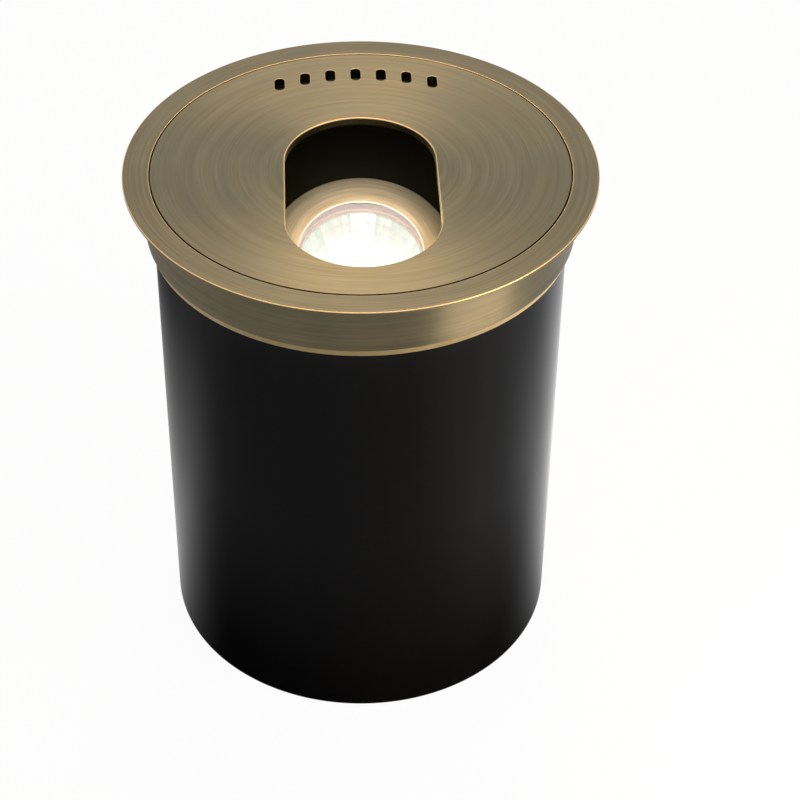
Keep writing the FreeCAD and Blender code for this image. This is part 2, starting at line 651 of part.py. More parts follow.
def make_ring_lug(number, angle):
    """Block bonded inside the sleeve's top, with the pilot hole of a ring screw."""
    name = f"ring_lug_{number}"
    body = new_body(name)
    floor = f"({SLEEVE_TOP} - Sizes.lug_height)"
    near = f"({BONDED} - Sizes.lug_depth)"
    edge = "(Sizes.lug_width / 2)"
    far = f"sqrt({BONDED} * {BONDED} - {edge} * {edge})"
    corners = [(near, f"-{edge}"), (far, f"-{edge}", BONDED, 1), (far, edge), (near, edge)]
    sketch = outline(sketch_on(body, f"{name}_outline", "XY_Plane", lift=floor), corners)
    padded(body, sketch, "Sizes.lug_height")
    drill(body, f"{name}_pilot", SLEEVE_TOP, [(RING_SCREW_CIRCLE, "0")], THREADED_HOLE, "Sizes.lug_height")
    body.Placement = Placement(Vector(0, 0, 0), Rotation(Vector(0, 0, 1), angle))
    return subpart(body, name)


def make_ring_screws():
    """Countersunk screws that hold the trim ring to the lugs."""
    screws = []
    for number, angle in enumerate(LUG_ANGLES, start=1):
        name = f"ring_screw_{number}"
        centre = ring_screw_centre(angle)
        screws.append(countersunk_screw(name, GLIDE_SEAT, "Sizes.ring_screw_length", centre))
    return group("ring_screws", screws)


def make_drain_plate():
    """Disc bonded low in the sleeve, with two rings of weep holes and the grommet's hole."""
    corners = [
        ("Sizes.cable_bore + Sizes.grommet_wall + Sizes.glue_gap", "Sizes.plate_level"),
        (BONDED, "Sizes.plate_level"),
        (BONDED, PLATE_TOP),
        ("Sizes.cable_bore + Sizes.grommet_wall + Sizes.glue_gap", PLATE_TOP),
    ]
    body = turned("drain_plate", corners)
    for ring in ("inner", "outer"):
        centre = [("0", f"Sizes.weep_{ring}_circle")]
        name = f"weep_{ring}"
        hole = drill(body, name, PLATE_TOP, centre, "Sizes.weep_radius", "Sizes.plate_thickness")
        repeat_round(body, hole, "Z_Axis", f"Sizes.weep_{ring}_count")
    return subpart(body, "drain_plate")


def make_cable_grommet():
    """Soft grommet that the supply cable comes through."""
    neck = "(Sizes.cable_bore + Sizes.grommet_wall)"
    lip = f"({neck} + Sizes.grommet_lip)"
    corners = [
        ("Sizes.cable_bore", "Sizes.plate_level - Sizes.grommet_lip_height"),
        (lip, "Sizes.plate_level - Sizes.grommet_lip_height"),
        (lip, "Sizes.plate_level"),
        (neck, "Sizes.plate_level"),
        (neck, PLATE_TOP),
        (lip, PLATE_TOP),
        (lip, f"{PLATE_TOP} + Sizes.grommet_lip_height"),
        ("Sizes.cable_bore", f"{PLATE_TOP} + Sizes.grommet_lip_height"),
    ]
    return subpart(turned("cable_grommet", corners), "cable_grommet")


# The lid


def make_lid():
    """Flat disc with a long round-ended opening and a row of vent slots."""
    corners = [
        ("0", LID_UNDER),
        (LID_EDGE, LID_UNDER),
        (LID_EDGE, "Sizes.overall_height - Sizes.edge_break"),
        (f"{LID_EDGE} - Sizes.edge_break", "Sizes.overall_height"),
        ("0", "Sizes.overall_height"),
    ]
    body = turned("lid", corners)
    near = f"(Sizes.opening_margin + Sizes.opening_half_width - {LID_EDGE})"
    far = "(Sizes.opening_back - Sizes.opening_half_width)"
    opening = sketch_on(body, "light_opening", "XY_Plane", lift="Sizes.overall_height")
    cut_through(body, long_hole(opening, near, far, "Sizes.opening_half_width"))
    bevel_opening(body)
    cut_vents(body)
    centres = [("0", DOWEL_CIRCLE), ("0", f"-{DOWEL_CIRCLE}")]
    hole = "Sizes.dowel_radius + Sizes.push_gap"
    drill(body, "dowel_holes", LID_UNDER, centres, hole, "Sizes.dowel_depth + Sizes.push_gap", upward=True)
    return subpart(body, "lid")


def bevel_opening(body):
    """Break the opening's upper edge."""
    top = value("Sizes.overall_height")
    reach = value(LID_EDGE) - value("Sizes.opening_margin") / 2

    def at_opening(edge):
        box = edge.BoundBox
        level = abs(box.ZMin - top) < 1e-3 and abs(box.ZMax - top) < 1e-3
        return level and max(-box.XMin, box.XMax, -box.YMin, box.YMax) < reach

    names = edges_where(body.Shape, at_opening)
    return dress(body, "Chamfer", names, "Size", "Sizes.opening_bevel")


def cut_vents(body):
    """Short slots that all lie along Y, with their middles on an arc."""
    half = "((Sizes.vent_length - Sizes.vent_width) / 2)"
    sketch = sketch_on(body, "vent_slots", "XY_Plane", lift="Sizes.overall_height")
    for number in range(round(value("Sizes.vent_count"))):
        across = f"(({number} - (Sizes.vent_count - 1) / 2) * Sizes.vent_pitch)"
        fall = f"(Sizes.vent_curve - sqrt(Sizes.vent_curve ^ 2 - {across} ^ 2))"
        middle = f"({LID_EDGE} - Sizes.vent_inset - {fall})"
        long_hole(sketch, f"{middle} - {half}", f"{middle} + {half}", "Sizes.vent_width / 2", across)
    return cut_through(body, sketch)


def make_lid_dowels():
    """Pins pressed into the lid that drop into the carrier ring, so lid and lamp turn together."""
    foot = f"({CARRIER_UNDER} + Sizes.running_gap)"
    top = f"({LID_UNDER} + Sizes.dowel_depth)"
    dowels = []
    for number, across in enumerate((DOWEL_CIRCLE, f"-{DOWEL_CIRCLE}"), start=1):
        dowels.append(rod(f"lid_dowel_{number}", "Sizes.dowel_radius", foot, top, ("0", across)))
    return group("lid_dowels", dowels)


# The carrier


def foot_screw_places(side):
    """Where one hanger's two screws stand along X."""
    return f"({side} * {FIRST_SCREW})", f"({side} * {SECOND_SCREW})"


def foot_screw_centres():
    """The four hanger screws, as pairs of expressions."""
    centres = []
    for _, side in SIDES:
        for place in foot_screw_places(side):
            centres.append((place, "Sizes.pivot_setback"))
    return centres


def make_carrier_ring():
    """Flat ring that turns in the trim ring, with a tab on each side for a hanger."""
    body = new_body("carrier_ring")
    sketch = sketch_on(body, "carrier_plate", "XY_Plane", lift=CARRIER_UNDER)
    circles(sketch, [("0", "0")], CARRIER_OUTER)
    circles(sketch, [("0", "0")], CARRIER_INNER)
    padded(body, sketch, "Sizes.carrier_thickness")
    front = "Sizes.pivot_setback - Sizes.tab_width / 2"
    back = "Sizes.pivot_setback + Sizes.tab_width / 2"
    overlap = f"({CARRIER_OUTER} - Sizes.carrier_width / 2)"
    for name, side in SIDES:
        tab = sketch_on(body, f"{name}_tab", "XY_Plane", lift=CARRIER_UNDER)
        start = f"{side} * ({FIRST_SCREW} - Sizes.tab_edge)"
        padded(body, box_outline(tab, start, f"{side} * {overlap}", front, back), "Sizes.carrier_thickness")
    screws = sketch_on(body, "foot_screw_holes", "XY_Plane", lift=CARRIER_TOP)
    countersink(body, circles(screws, foot_screw_centres(), SCREW_HOLE))
    centres = [("0", DOWEL_CIRCLE), ("0", f"-{DOWEL_CIRCLE}")]
    hole = "Sizes.dowel_radius + Sizes.running_gap"
    drill(body, "carrier_dowel_holes", CARRIER_TOP, centres, hole, "Sizes.carrier_thickness")
    return subpart(body, "carrier_ring")


def make_hanger(name, side):
    """Bent strap from the carrier ring down to the tilt axis."""
    label = f"hanger_{name}"
    body = new_body(label)
    low = f"({PIVOT_LEVEL} - Sizes.hanger_below_pivot)"
    foot_under = f"({CARRIER_UNDER} - Sizes.hanger_thickness)"
    profile = sketch_on(body, f"{label}_profile", "XZ_Plane", lift="-Sizes.hanger_width / 2")
    corners = [
        (f"{side} * {HANGER_INNER}", low),
        (f"{side} * {HANGER_OUTER}", low),
        (f"{side} * {HANGER_OUTER}", foot_under),
        (f"{side} * {FOOT_END}", foot_under),
        (f"{side} * {FOOT_END}", CARRIER_UNDER),
        (f"{side} * {HANGER_INNER}", CARRIER_UNDER),
    ]
    padded(body, outline(profile, corners), "Sizes.hanger_width")
    bend_hanger(body, side)
    pivot = sketch_on(body, f"{label}_pivot", "YZ_Plane")
    cut_through(body, circles(pivot, [("0", PIVOT_LEVEL)], PIVOT_HOLE))
    centres = [(place, "0") for place in foot_screw_places(side)]
    holes = circles(sketch_on(body, f"{label}_holes", "XY_Plane"), centres, SCREW_HOLE)
    cut_through(body, holes)
    body.setExpression("Placement.Base.y", "Sizes.pivot_setback")
    return subpart(body, label)


def bend_hanger(body, side):
    """Round the strap's bend inside and out, and its lower corners."""
    rounds = (
        (HANGER_INNER, CARRIER_UNDER, "Sizes.hanger_bend + Sizes.hanger_thickness"),
        (HANGER_OUTER, f"({CARRIER_UNDER} - Sizes.hanger_thickness)", "Sizes.hanger_bend"),
    )
    for across, height, radius in rounds:
        spot = Vector(side * value(across), 0, value(height))

        def along_bend(edge):
            box = edge.BoundBox
            flat = box.XLength < 1e-3 and box.ZLength < 1e-3
            return flat and abs(box.XMin - spot.x) < 1e-3 and abs(box.ZMin - spot.z) < 1e-3

        dress(body, "Fillet", edges_where(body.Shape, along_bend), "Radius", radius)
    low = value(PIVOT_LEVEL) - value("Sizes.hanger_below_pivot")

    def at_low_corner(edge):
        box = edge.BoundBox
        return box.YLength < 1e-3 and box.ZLength < 1e-3 and abs(box.ZMin - low) < 1e-3

    corner = "Sizes.hanger_width / 2 - Sizes.edge_break"
    return dress(body, "Fillet", edges_where(body.Shape, at_low_corner), "Radius", corner)


def make_hanger_screws():
    """Countersunk screws through the carrier's tabs and the hangers' feet."""
    end = f"({CARRIER_UNDER} - Sizes.hanger_thickness - Sizes.nut_height - Sizes.screw_proud)"
    length = f"({CARRIER_TOP} - Sizes.head_sink - {end})"
    screws = []
    for number, centre in enumerate(foot_screw_centres(), start=1):
        screws.append(countersunk_screw(f"hanger_screw_{number}", CARRIER_TOP, length, centre))
    return group("hanger_screws", screws)


def make_hanger_nuts():
    """Nuts under the hangers' feet."""
    top = f"({CARRIER_UNDER} - Sizes.hanger_thickness)"
    floor = f"({top} - Sizes.nut_height)"
    nuts = []
    for number, centre in enumerate(foot_screw_centres(), start=1):
        nuts.append(hex_nut(f"hanger_nut_{number}", "Sizes.nut_radius", THREADED_HOLE, floor, top, centre))
    return group("hanger_nuts", nuts)


# The lamp head's shell and pivots


def make_lamp_cup():
    """Round housing with a threaded collar, two pivot bosses and a floor with the gland's hole."""
    collar_end = f"({CUP_RIM} - Sizes.cup_collar_height)"
    gland_hole = "(Sizes.gland_radius + Sizes.push_gap)"
    corners = [
        (gland_hole, CUP_UNDER),
        (f"{CUP_WAIST} - Sizes.edge_break", CUP_UNDER),
        (CUP_WAIST, f"{CUP_UNDER} + Sizes.edge_break"),
        (CUP_WAIST, collar_end),
        (CUP_COLLAR, collar_end),
        (CUP_COLLAR, CUP_RIM),
        (CUP_BORE, CUP_RIM),
        (CUP_BORE, SHELF),
        (CUP_INSIDE, SHELF),
        (CUP_INSIDE, CUP_FLOOR),
        (gland_hole, CUP_FLOOR),
    ]
    body = turned("lamp_cup", corners)
    root = f"({CUP_INSIDE} + Sizes.cup_wall / 2)"
    boss = circles(sketch_on(body, "pivot_boss", "YZ_Plane", lift=root), [("0", "0")], "Sizes.boss_radius")
    mirror_across(body, [padded(body, boss, f"{BOSS_FACE} - {root}")], "YZ_Plane")
    hole = sketch_on(body, "stud_hole", "YZ_Plane", lift=BOSS_FACE)
    circles(hole, [("0", "0")], "Sizes.stud_radius + Sizes.push_gap")
    mirror_across(body, [cut_blind(body, hole, "Sizes.stud_root + Sizes.push_gap")], "YZ_Plane")
    centres = [("Sizes.ear_screw_place", "0"), ("-Sizes.ear_screw_place", "0")]
    drill(body, "standoff_holes", CUP_FLOOR, centres, THREADED_HOLE, "Sizes.spigot_length + Sizes.push_gap")
    return subpart(place_in_head(body), "lamp_cup")


def make_pivot_stud(name, side):
    """Threaded stud that the head tilts on, screwed into a boss."""
    label = f"pivot_stud_{name}"
    start = f"{side} * ({BOSS_FACE} - Sizes.stud_root)"
    end = f"({KNOB_END} + Sizes.stud_tip)"
    corners = [
        (start, "0"),
        (f"{side} * {end}", "0"),
        (f"{side} * {end}", "Sizes.stud_radius - Sizes.edge_break"),
        (f"{side} * ({end} - Sizes.edge_break)", "Sizes.stud_radius"),
        (start, "Sizes.stud_radius"),
    ]
    return subpart(place_in_head(turned(label, corners, "H_Axis")), label)


def make_friction_washer(name, side):
    """Washer squeezed between a boss and its hanger."""
    label = f"friction_washer_{name}"
    corners = [
        (f"{side} * {BOSS_FACE}", "Sizes.stud_radius + Sizes.glue_gap"),
        (f"{side} * {HANGER_INNER}", "Sizes.stud_radius + Sizes.glue_gap"),
        (f"{side} * {HANGER_INNER}", "Sizes.boss_radius"),
        (f"{side} * {BOSS_FACE}", "Sizes.boss_radius"),
    ]
    return subpart(place_in_head(turned(label, corners, "H_Axis")), label)


def make_knob_washer(name, side):
    """Plain washer under a thumb nut."""
    label = f"knob_washer_{name}"
    corners = [
        (f"{side} * {HANGER_OUTER}", PIVOT_HOLE),
        (f"{side} * {KNOB_START}", PIVOT_HOLE),
        (f"{side} * {KNOB_START}", "Sizes.knob_washer_radius"),
        (f"{side} * {HANGER_OUTER}", "Sizes.knob_washer_radius"),
    ]
    return subpart(place_in_head(turned(label, corners, "H_Axis")), label)


def make_tilt_knob(name, side):
    """Knurled thumb nut that locks the tilt."""
    label = f"tilt_knob_{name}"
    neck_end = f"({KNOB_START} + Sizes.knob_neck_length)"
    corners = [
        (f"{side} * {KNOB_START}", PIVOT_HOLE),
        (f"{side} * {KNOB_END}", PIVOT_HOLE),
        (f"{side} * {KNOB_END}", "Sizes.knob_radius - Sizes.knurl_depth"),
        (f"{side} * ({KNOB_END} - Sizes.knurl_depth)", "Sizes.knob_radius"),
        (f"{side} * ({neck_end} + Sizes.knurl_depth)", "Sizes.knob_radius"),
        (f"{side} * {neck_end}", "Sizes.knob_radius - Sizes.knurl_depth"),
        (f"{side} * {neck_end}", "Sizes.knob_neck_radius"),
        (f"{side} * {KNOB_START}", "Sizes.knob_neck_radius"),
    ]
    body = turned(label, corners, "H_Axis")
    groove = sketch_on(body, f"{label}_groove", "YZ_Plane")
    valley = "(Sizes.knob_radius - Sizes.knurl_depth)"
    crest = "(Sizes.knob_radius + Sizes.knurl_depth / 2)"
    outline(groove, [("0", valley), ("Sizes.knurl_half_width", crest), ("-Sizes.knurl_half_width", crest)])
    repeat_round(body, cut_through(body, groove), "X_Axis", "Sizes.knurl_count")
    return subpart(place_in_head(body), label)


# Lens and bezel


def make_lens_gasket():
    """Flat gasket between the cup's rim and the lens."""
    inner = f"({CUP_BORE} + Sizes.gasket_margin)"
    corners = [(inner, CUP_RIM), (LENS_EDGE, CUP_RIM), (LENS_EDGE, LENS_UNDER), (inner, LENS_UNDER)]
    return subpart(place_in_head(turned("lens_gasket", corners)), "lens_gasket")


def make_lens():
    """Round glass that closes the cup."""
    corners = [
        ("0", LENS_UNDER),
        (f"{LENS_EDGE} - Sizes.edge_break", LENS_UNDER),
        (LENS_EDGE, f"{LENS_UNDER} + Sizes.edge_break"),
        (LENS_EDGE, f"{FACE_UNDER} - Sizes.edge_break"),
        (f"{LENS_EDGE} - Sizes.edge_break", FACE_UNDER),
        ("0", FACE_UNDER),
    ]
    return subpart(place_in_head(turned("lens", corners)), "lens")


def make_bezel():
    """Threaded ring that clamps the lens, with a flat face round the light."""
    skirt_end = f"({FACE_UNDER} - Sizes.bezel_skirt)"
    corners = [
        (APERTURE, FACE_UNDER),
        (BEZEL_BORE, FACE_UNDER),
        (BEZEL_BORE, skirt_end),
        (BEZEL_EDGE, skirt_end),
        (BEZEL_EDGE, "Sizes.bezel_reach - Sizes.opening_bevel"),
        (f"{BEZEL_EDGE} - Sizes.opening_bevel", "Sizes.bezel_reach"),
        (f"{APERTURE} + Sizes.opening_bevel", "Sizes.bezel_reach"),
        (APERTURE, "Sizes.bezel_reach - Sizes.opening_bevel"),
    ]
    return subpart(place_in_head(turned("bezel", corners)), "bezel")


# The lamp and its socket


def make_lamp_retainer():
    """Springy ring that holds the lamp's rim in the cup."""
    lip = "(Sizes.lamp_radius - Sizes.lamp_ring_lip)"
    wall = "(Sizes.lamp_radius + Sizes.push_gap)"
    corners = [
        (lip, SHELF),
        (RETAINER, SHELF),
        (RETAINER, LAMP_RIM),
        (wall, LAMP_RIM),
        (wall, LAMP_SEAT),
        (lip, LAMP_SEAT),
    ]
    return subpart(place_in_head(turned("lamp_retainer", corners)), "lamp_retainer")


def make_lamp_reflector():
    """Bowl-shaped glass reflector with a flat rim and a hole for the capsule."""
    front = "(Sizes.lamp_radius - Sizes.rim_land)"
    shoulder = "(Sizes.lamp_radius - Sizes.lamp_ring_lip - Sizes.running_gap)"
    corners = [
        ("Sizes.throat_hole", BOWL_BACK),
        ("Sizes.throat_radius + Sizes.bowl_glass", BOWL_BACK, "Sizes.bowl_curve", 1),
        (shoulder, LAMP_SEAT),
        ("Sizes.lamp_radius", LAMP_SEAT),
        ("Sizes.lamp_radius", LAMP_RIM),
        (front, LAMP_RIM, "Sizes.bowl_curve", -1),
        ("Sizes.throat_radius", BOWL_FLOOR),
        ("Sizes.throat_hole", BOWL_FLOOR),
    ]
    return subpart(place_in_head(turned("lamp_reflector", corners)), "lamp_reflector")


def make_lamp_capsule():
    """Small glass bulb in the reflector, on a pinched neck in the lamp's base."""
    tip = f"({LAMP_RIM} - Sizes.capsule_tip)"
    shoulder = f"({tip} - Sizes.capsule_radius)"
    neck_top = f"({BOWL_FLOOR} + Sizes.capsule_radius - Sizes.capsule_neck_radius)"
    neck_end = f"({BOWL_FLOOR} - Sizes.capsule_neck_length)"
    corners = [
        ("0", neck_end),
        ("Sizes.capsule_neck_radius", neck_end),
        ("Sizes.capsule_neck_radius", BOWL_FLOOR),
        ("Sizes.capsule_radius", neck_top),
        ("Sizes.capsule_radius", shoulder, "Sizes.capsule_radius", 1),
        ("0", tip),
    ]
    return subpart(place_in_head(turned("lamp_capsule", corners)), "lamp_capsule")


def pin_centres():
    """The two contact pins."""
    return [("Sizes.pin_spacing / 2", "0"), ("-Sizes.pin_spacing / 2", "0")]


def block(body, name, width, depth, floor, height):
    """A rectangular block centred on the lamp's axis."""
    sketch = sketch_on(body, name, "XY_Plane", lift=floor)
    box_outline(sketch, f"-{width} / 2", f"{width} / 2", f"-{depth} / 2", f"{depth} / 2")
    return padded(body, sketch, height)


def make_lamp_base():
    """Ceramic block on the reflector's back, with holes for the neck and the pins."""
    body = new_body("lamp_base")
    block(body, "base_block", "Sizes.lamp_base_width", "Sizes.lamp_base_depth", LAMP_BASE_END,
          "Sizes.lamp_base_height")
    neck_hole = "Sizes.capsule_neck_radius + Sizes.push_gap"
    depth = "Sizes.capsule_neck_length - Sizes.bowl_glass + Sizes.push_gap"
    drill(body, "neck_hole", BOWL_BACK, [("0", "0")], neck_hole, depth)
    hole = "Sizes.pin_radius + Sizes.push_gap"
    root = "Sizes.pin_root + Sizes.push_gap"
    drill(body, "pin_holes", LAMP_BASE_END, pin_centres(), hole, root, upward=True)
    return subpart(place_in_head(body), "lamp_base")


def make_lamp_pins():
    """Two contact pins."""
    low = f"({LAMP_BASE_END} - Sizes.pin_length)"
    high = f"({LAMP_BASE_END} + Sizes.pin_root)"
    pins = []
    for number, centre in enumerate(pin_centres(), start=1):
        pins.append(rod(f"lamp_pin_{number}", "Sizes.pin_radius", low, high, centre))
    return place_in_head(group("lamp_pins", pins))


def ear_centres():
    """The two socket screws."""
    return [("Sizes.ear_screw_place", "0"), ("-Sizes.ear_screw_place", "0")]


def lead_centres():
    """The two leads."""
    return [("Sizes.lead_spacing / 2", "0"), ("-Sizes.lead_spacing / 2", "0")]


def make_socket():
    """Ceramic lamp socket with two ears."""
    body = new_body("socket")
    block(body, "socket_block", "Sizes.socket_width", "Sizes.socket_depth", SOCKET_UNDER,
          "Sizes.socket_height")
    block(body, "socket_ears", "(2 * Sizes.ear_reach)", "Sizes.socket_depth", SOCKET_UNDER,
          "Sizes.ear_thickness")
    pin_hole = "Sizes.pin_radius + Sizes.screw_hole_gap"
    pin_depth = "Sizes.pin_length - Sizes.socket_gap + Sizes.push_gap"
    drill(body, "contact_holes", SOCKET_TOP, pin_centres(), pin_hole, pin_depth)
    lead_hole = "Sizes.lead_radius + Sizes.push_gap"
    lead_depth = "Sizes.lead_depth + Sizes.push_gap"
    drill(body, "lead_holes", SOCKET_UNDER, lead_centres(), lead_hole, lead_depth, upward=True)
    ear_top = f"({SOCKET_UNDER} + Sizes.ear_thickness)"
    drill(body, "ear_holes", ear_top, ear_centres(), SCREW_HOLE, "Sizes.ear_thickness")
    return subpart(place_in_head(body), "socket")


def make_standoffs():
    """Hexagonal pillars from the cup's floor to the socket's ears."""
    pillars = []
    for number, centre in enumerate(ear_centres(), start=1):
        name = f"standoff_{number}"
        pillar = hex_bar(f"{name}_pillar", "Sizes.standoff_radius", CUP_FLOOR, SOCKET_UNDER, centre)
        bore = rod(f"{name}_bore", THREADED_HOLE, CUP_FLOOR, SOCKET_UNDER, centre)
        bored = less(f"{name}_bored", pillar, bore)
        foot_end = f"({CUP_FLOOR} - Sizes.spigot_length)"
        foot_top = f"({CUP_FLOOR} + Sizes.push_gap)"
        foot = rod(f"{name}_foot", "Sizes.screw_radius", foot_end, foot_top, centre)
        web_radius = "(Sizes.standoff_radius + Sizes.screw_radius) / 2"
        web = rod(f"{name}_web", web_radius, CUP_FLOOR, foot_top, centre)
        pillars.append(fused(name, [bored, web, foot]))
    return place_in_head(group("standoffs", pillars))


def make_socket_screws():
    """Pan-head screws through the socket's ears into the standoffs."""
    ear_top = f"({SOCKET_UNDER} + Sizes.ear_thickness)"
    screws = []
    for number, centre in enumerate(ear_centres(), start=1):
        name = f"socket_screw_{number}"
        head_top = f"({ear_top} + Sizes.pan_head_height)"
        head = rod(f"{name}_head", "Sizes.screw_head_radius", ear_top, head_top, centre)
        end = f"({ear_top} - Sizes.socket_screw_length)"
        shank = rod(f"{name}_shank", "Sizes.screw_radius", end, ear_top, centre)
        screws.append(fused(name, [head, shank]))
    return place_in_head(group("socket_screws", screws))


def make_socket_leads():
    """Two short leads from the socket into the gland."""
    top = f"({SOCKET_UNDER} + Sizes.lead_depth)"
    leads = []
    for number, centre in enumerate(lead_centres(), start=1):
        leads.append(rod(f"socket_lead_{number}", "Sizes.lead_radius", GLAND_FLANGE_UNDER, top, centre))
    return place_in_head(group("socket_leads", leads))


# The gland in the cup's floor


def make_gland_body():
    """Barrel with a hexagonal flange, through the cup's floor."""
    top = f"({GLAND_FLANGE_TOP} + Sizes.gland_barrel_above)"
    barrel = rod("gland_barrel", "Sizes.gland_radius", GLAND_END, top)
    flange = hex_bar("gland_flange", "Sizes.gland_hex_radius", GLAND_FLANGE_UNDER, GLAND_FLANGE_TOP)
    solid = fused("gland_solid", [barrel, flange])
    body = less("gland_body", solid, rod("gland_way", "Sizes.cable_bore", GLAND_END, top))
    return subpart(place_in_head(body), "gland_body")


def make_gland_seal():
    """Flat seal between the gland's flange and the cup."""
    inner = "Sizes.gland_radius + Sizes.push_gap"
    outer = "Sizes.gland_cap_radius"
    corners = [(inner, GLAND_FLANGE_TOP), (outer, GLAND_FLANGE_TOP), (outer, CUP_UNDER), (inner, CUP_UNDER)]
    return subpart(place_in_head(turned("gland_seal", corners)), "gland_seal")


def make_gland_locknut():
    """Nut on the gland's barrel, inside the cup."""
    top = f"({CUP_FLOOR} + Sizes.locknut_height)"
    bore = "Sizes.gland_radius + Sizes.push_gap"
    nut = hex_nut("gland_locknut", "Sizes.gland_hex_radius", bore, CUP_FLOOR, top)
    return subpart(place_in_head(nut), "gland_locknut")


def make_gland_cap():
    """Domed cap that squeezes the gland on its cable."""
    top = f"({GLAND_FLANGE_UNDER} - Sizes.running_gap)"
    end = f"({top} - Sizes.gland_cap_height)"
    inside = f"({end} + Sizes.gland_cap_floor)"
    thread = "Sizes.gland_radius + Sizes.push_gap"
    corners = [
        ("Sizes.cable_bore", end),
        ("Sizes.gland_cap_radius - Sizes.gland_cap_floor", end),
        ("Sizes.gland_cap_radius", inside),
        ("Sizes.gland_cap_radius", top),
        (thread, top),
        (thread, inside),
        ("Sizes.cable_bore", inside),
    ]
    return subpart(place_in_head(turned("gland_cap", corners)), "gland_cap")


def make_all():
    """Every sub-part, from the ground up."""
    fill_sheet()
    make_sleeve()
    make_trim_ring()
    make_seat_gasket()
    make_glide_ring()
    for number, angle in enumerate(LUG_ANGLES, start=1):
        make_ring_lug(number, angle)
    make_ring_screws()
    make_drain_plate()
    make_cable_grommet()
    make_lid()
    make_lid_dowels()
    make_carrier_ring()
    for name, side in SIDES:
        make_hanger(name, side)
        make_pivot_stud(name, side)
        make_friction_washer(name, side)
        make_knob_washer(name, side)
        make_tilt_knob(name, side)
    make_hanger_screws()
    make_hanger_nuts()
    make_lamp_cup()
    make_lens_gasket()
    make_lens()
    make_bezel()
    make_lamp_retainer()
    make_lamp_reflector()
    make_lamp_capsule()
    make_lamp_base()
    make_lamp_pins()
    make_socket()
    make_standoffs()
    make_socket_screws()
    make_socket_leads()
    make_gland_body()
    make_gland_seal()
    make_gland_locknut()
    make_gland_cap()


def check_all():
    """Stop if any object failed or any sub-part has no sound solid."""
    document.recompute()
    for item in document.Objects:
        if "Invalid" in item.State or "Error" in item.State:
            raise RuntimeError(f"{item.Label} failed: {item.State}")
    for item in subparts:
        shape = item.Shape
        if shape.isNull() or not shape.isValid() or not shape.Solids:
            raise RuntimeError(f"{item.Label} has no valid solid")


def write_all():
    """Write each sub-part to its own file."""
    os.makedirs("parts", exist_ok=True)
    for item in subparts:
        item.Shape.exportStep(f"parts/{item.Label}.step")
        print(f"{item.Label}: {len(item.Shape.Solids)} solid(s), {item.Shape.Volume:.1f} mm3")


make_all()
check_all()
write_all()
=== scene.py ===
"""The looks of an in ground well light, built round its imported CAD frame.

The scene is in metres, +Z up, in the CAD frame: the origin is the middle of the sleeve's lower end,
the lid's long opening points to -Y and its vent slots lie at +Y. Sizes in the classes are in
millimetres and degrees, as on a maker's drawing.

The top is brass, turned on a lathe, browned and brushed. The sleeve is glossy black plastic tube.
A lit reflector lamp looks out of the lid's opening, from a head that tilts and turns.
"""

from __future__ import annotations

import logging
import math
from dataclasses import dataclass, replace
from enum import Enum
from typing import Any, ClassVar, Sequence

import bpy
from mathutils import Euler, Matrix, Vector

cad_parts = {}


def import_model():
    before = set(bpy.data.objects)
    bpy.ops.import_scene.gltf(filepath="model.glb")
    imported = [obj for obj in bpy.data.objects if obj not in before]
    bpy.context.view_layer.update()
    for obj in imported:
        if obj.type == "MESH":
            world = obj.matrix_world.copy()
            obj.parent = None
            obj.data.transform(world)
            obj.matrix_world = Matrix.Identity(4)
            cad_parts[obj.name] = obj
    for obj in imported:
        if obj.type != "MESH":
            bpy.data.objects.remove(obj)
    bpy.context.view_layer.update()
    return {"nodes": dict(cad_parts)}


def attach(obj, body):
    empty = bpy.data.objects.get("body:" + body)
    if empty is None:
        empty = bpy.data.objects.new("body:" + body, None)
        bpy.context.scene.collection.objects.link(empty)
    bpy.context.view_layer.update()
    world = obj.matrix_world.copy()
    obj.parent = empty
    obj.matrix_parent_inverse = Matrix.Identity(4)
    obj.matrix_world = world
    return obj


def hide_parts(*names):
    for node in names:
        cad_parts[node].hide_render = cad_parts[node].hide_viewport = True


MM = 0.001
LOG = logging.getLogger("well_light")
WHITE = "#FFFFFF"
# Faces that meet at a larger angle than this have a sharp edge between them.
SHARP = math.radians(38)

# Blender's names of the nodes that are used most
MATH = "ShaderNodeMath"
VECTOR = "ShaderNodeVectorMath"
RANGE = "ShaderNodeMapRange"
MIX = "ShaderNodeMix"
NOISE = "ShaderNodeTexNoise"
COMBINE = "ShaderNodeCombineXYZ"
SEPARATE = "ShaderNodeSeparateXYZ"
COORDINATE = "ShaderNodeTexCoord"
BUMP = "ShaderNodeBump"
SURFACE = "ShaderNodeBsdfPrincipled"
LIGHT = "ShaderNodeEmission"
REALIZE = "GeometryNodeRealizeInstances"
MOVE = "GeometryNodeTransform"
JOIN = "GeometryNodeJoinGeometry"


class Body(str, Enum):
    """The CAD bodies that new pieces ride on."""

    WELL = "well"
    CARRIER = "carrier"
    LID = "lid"
    HEAD = "lamp_head"
    LENS_PACK = "lens_pack"
    BEZEL = "bezel"
    LEFT_KNOB = "left_knob"
    RIGHT_KNOB = "right_knob"


class Grit(Enum):
    """What the fine pattern of a plain finish is made of."""

    CLOUDS = "clouds"
    CELLS = "cells"
    STREAKS = "streaks"


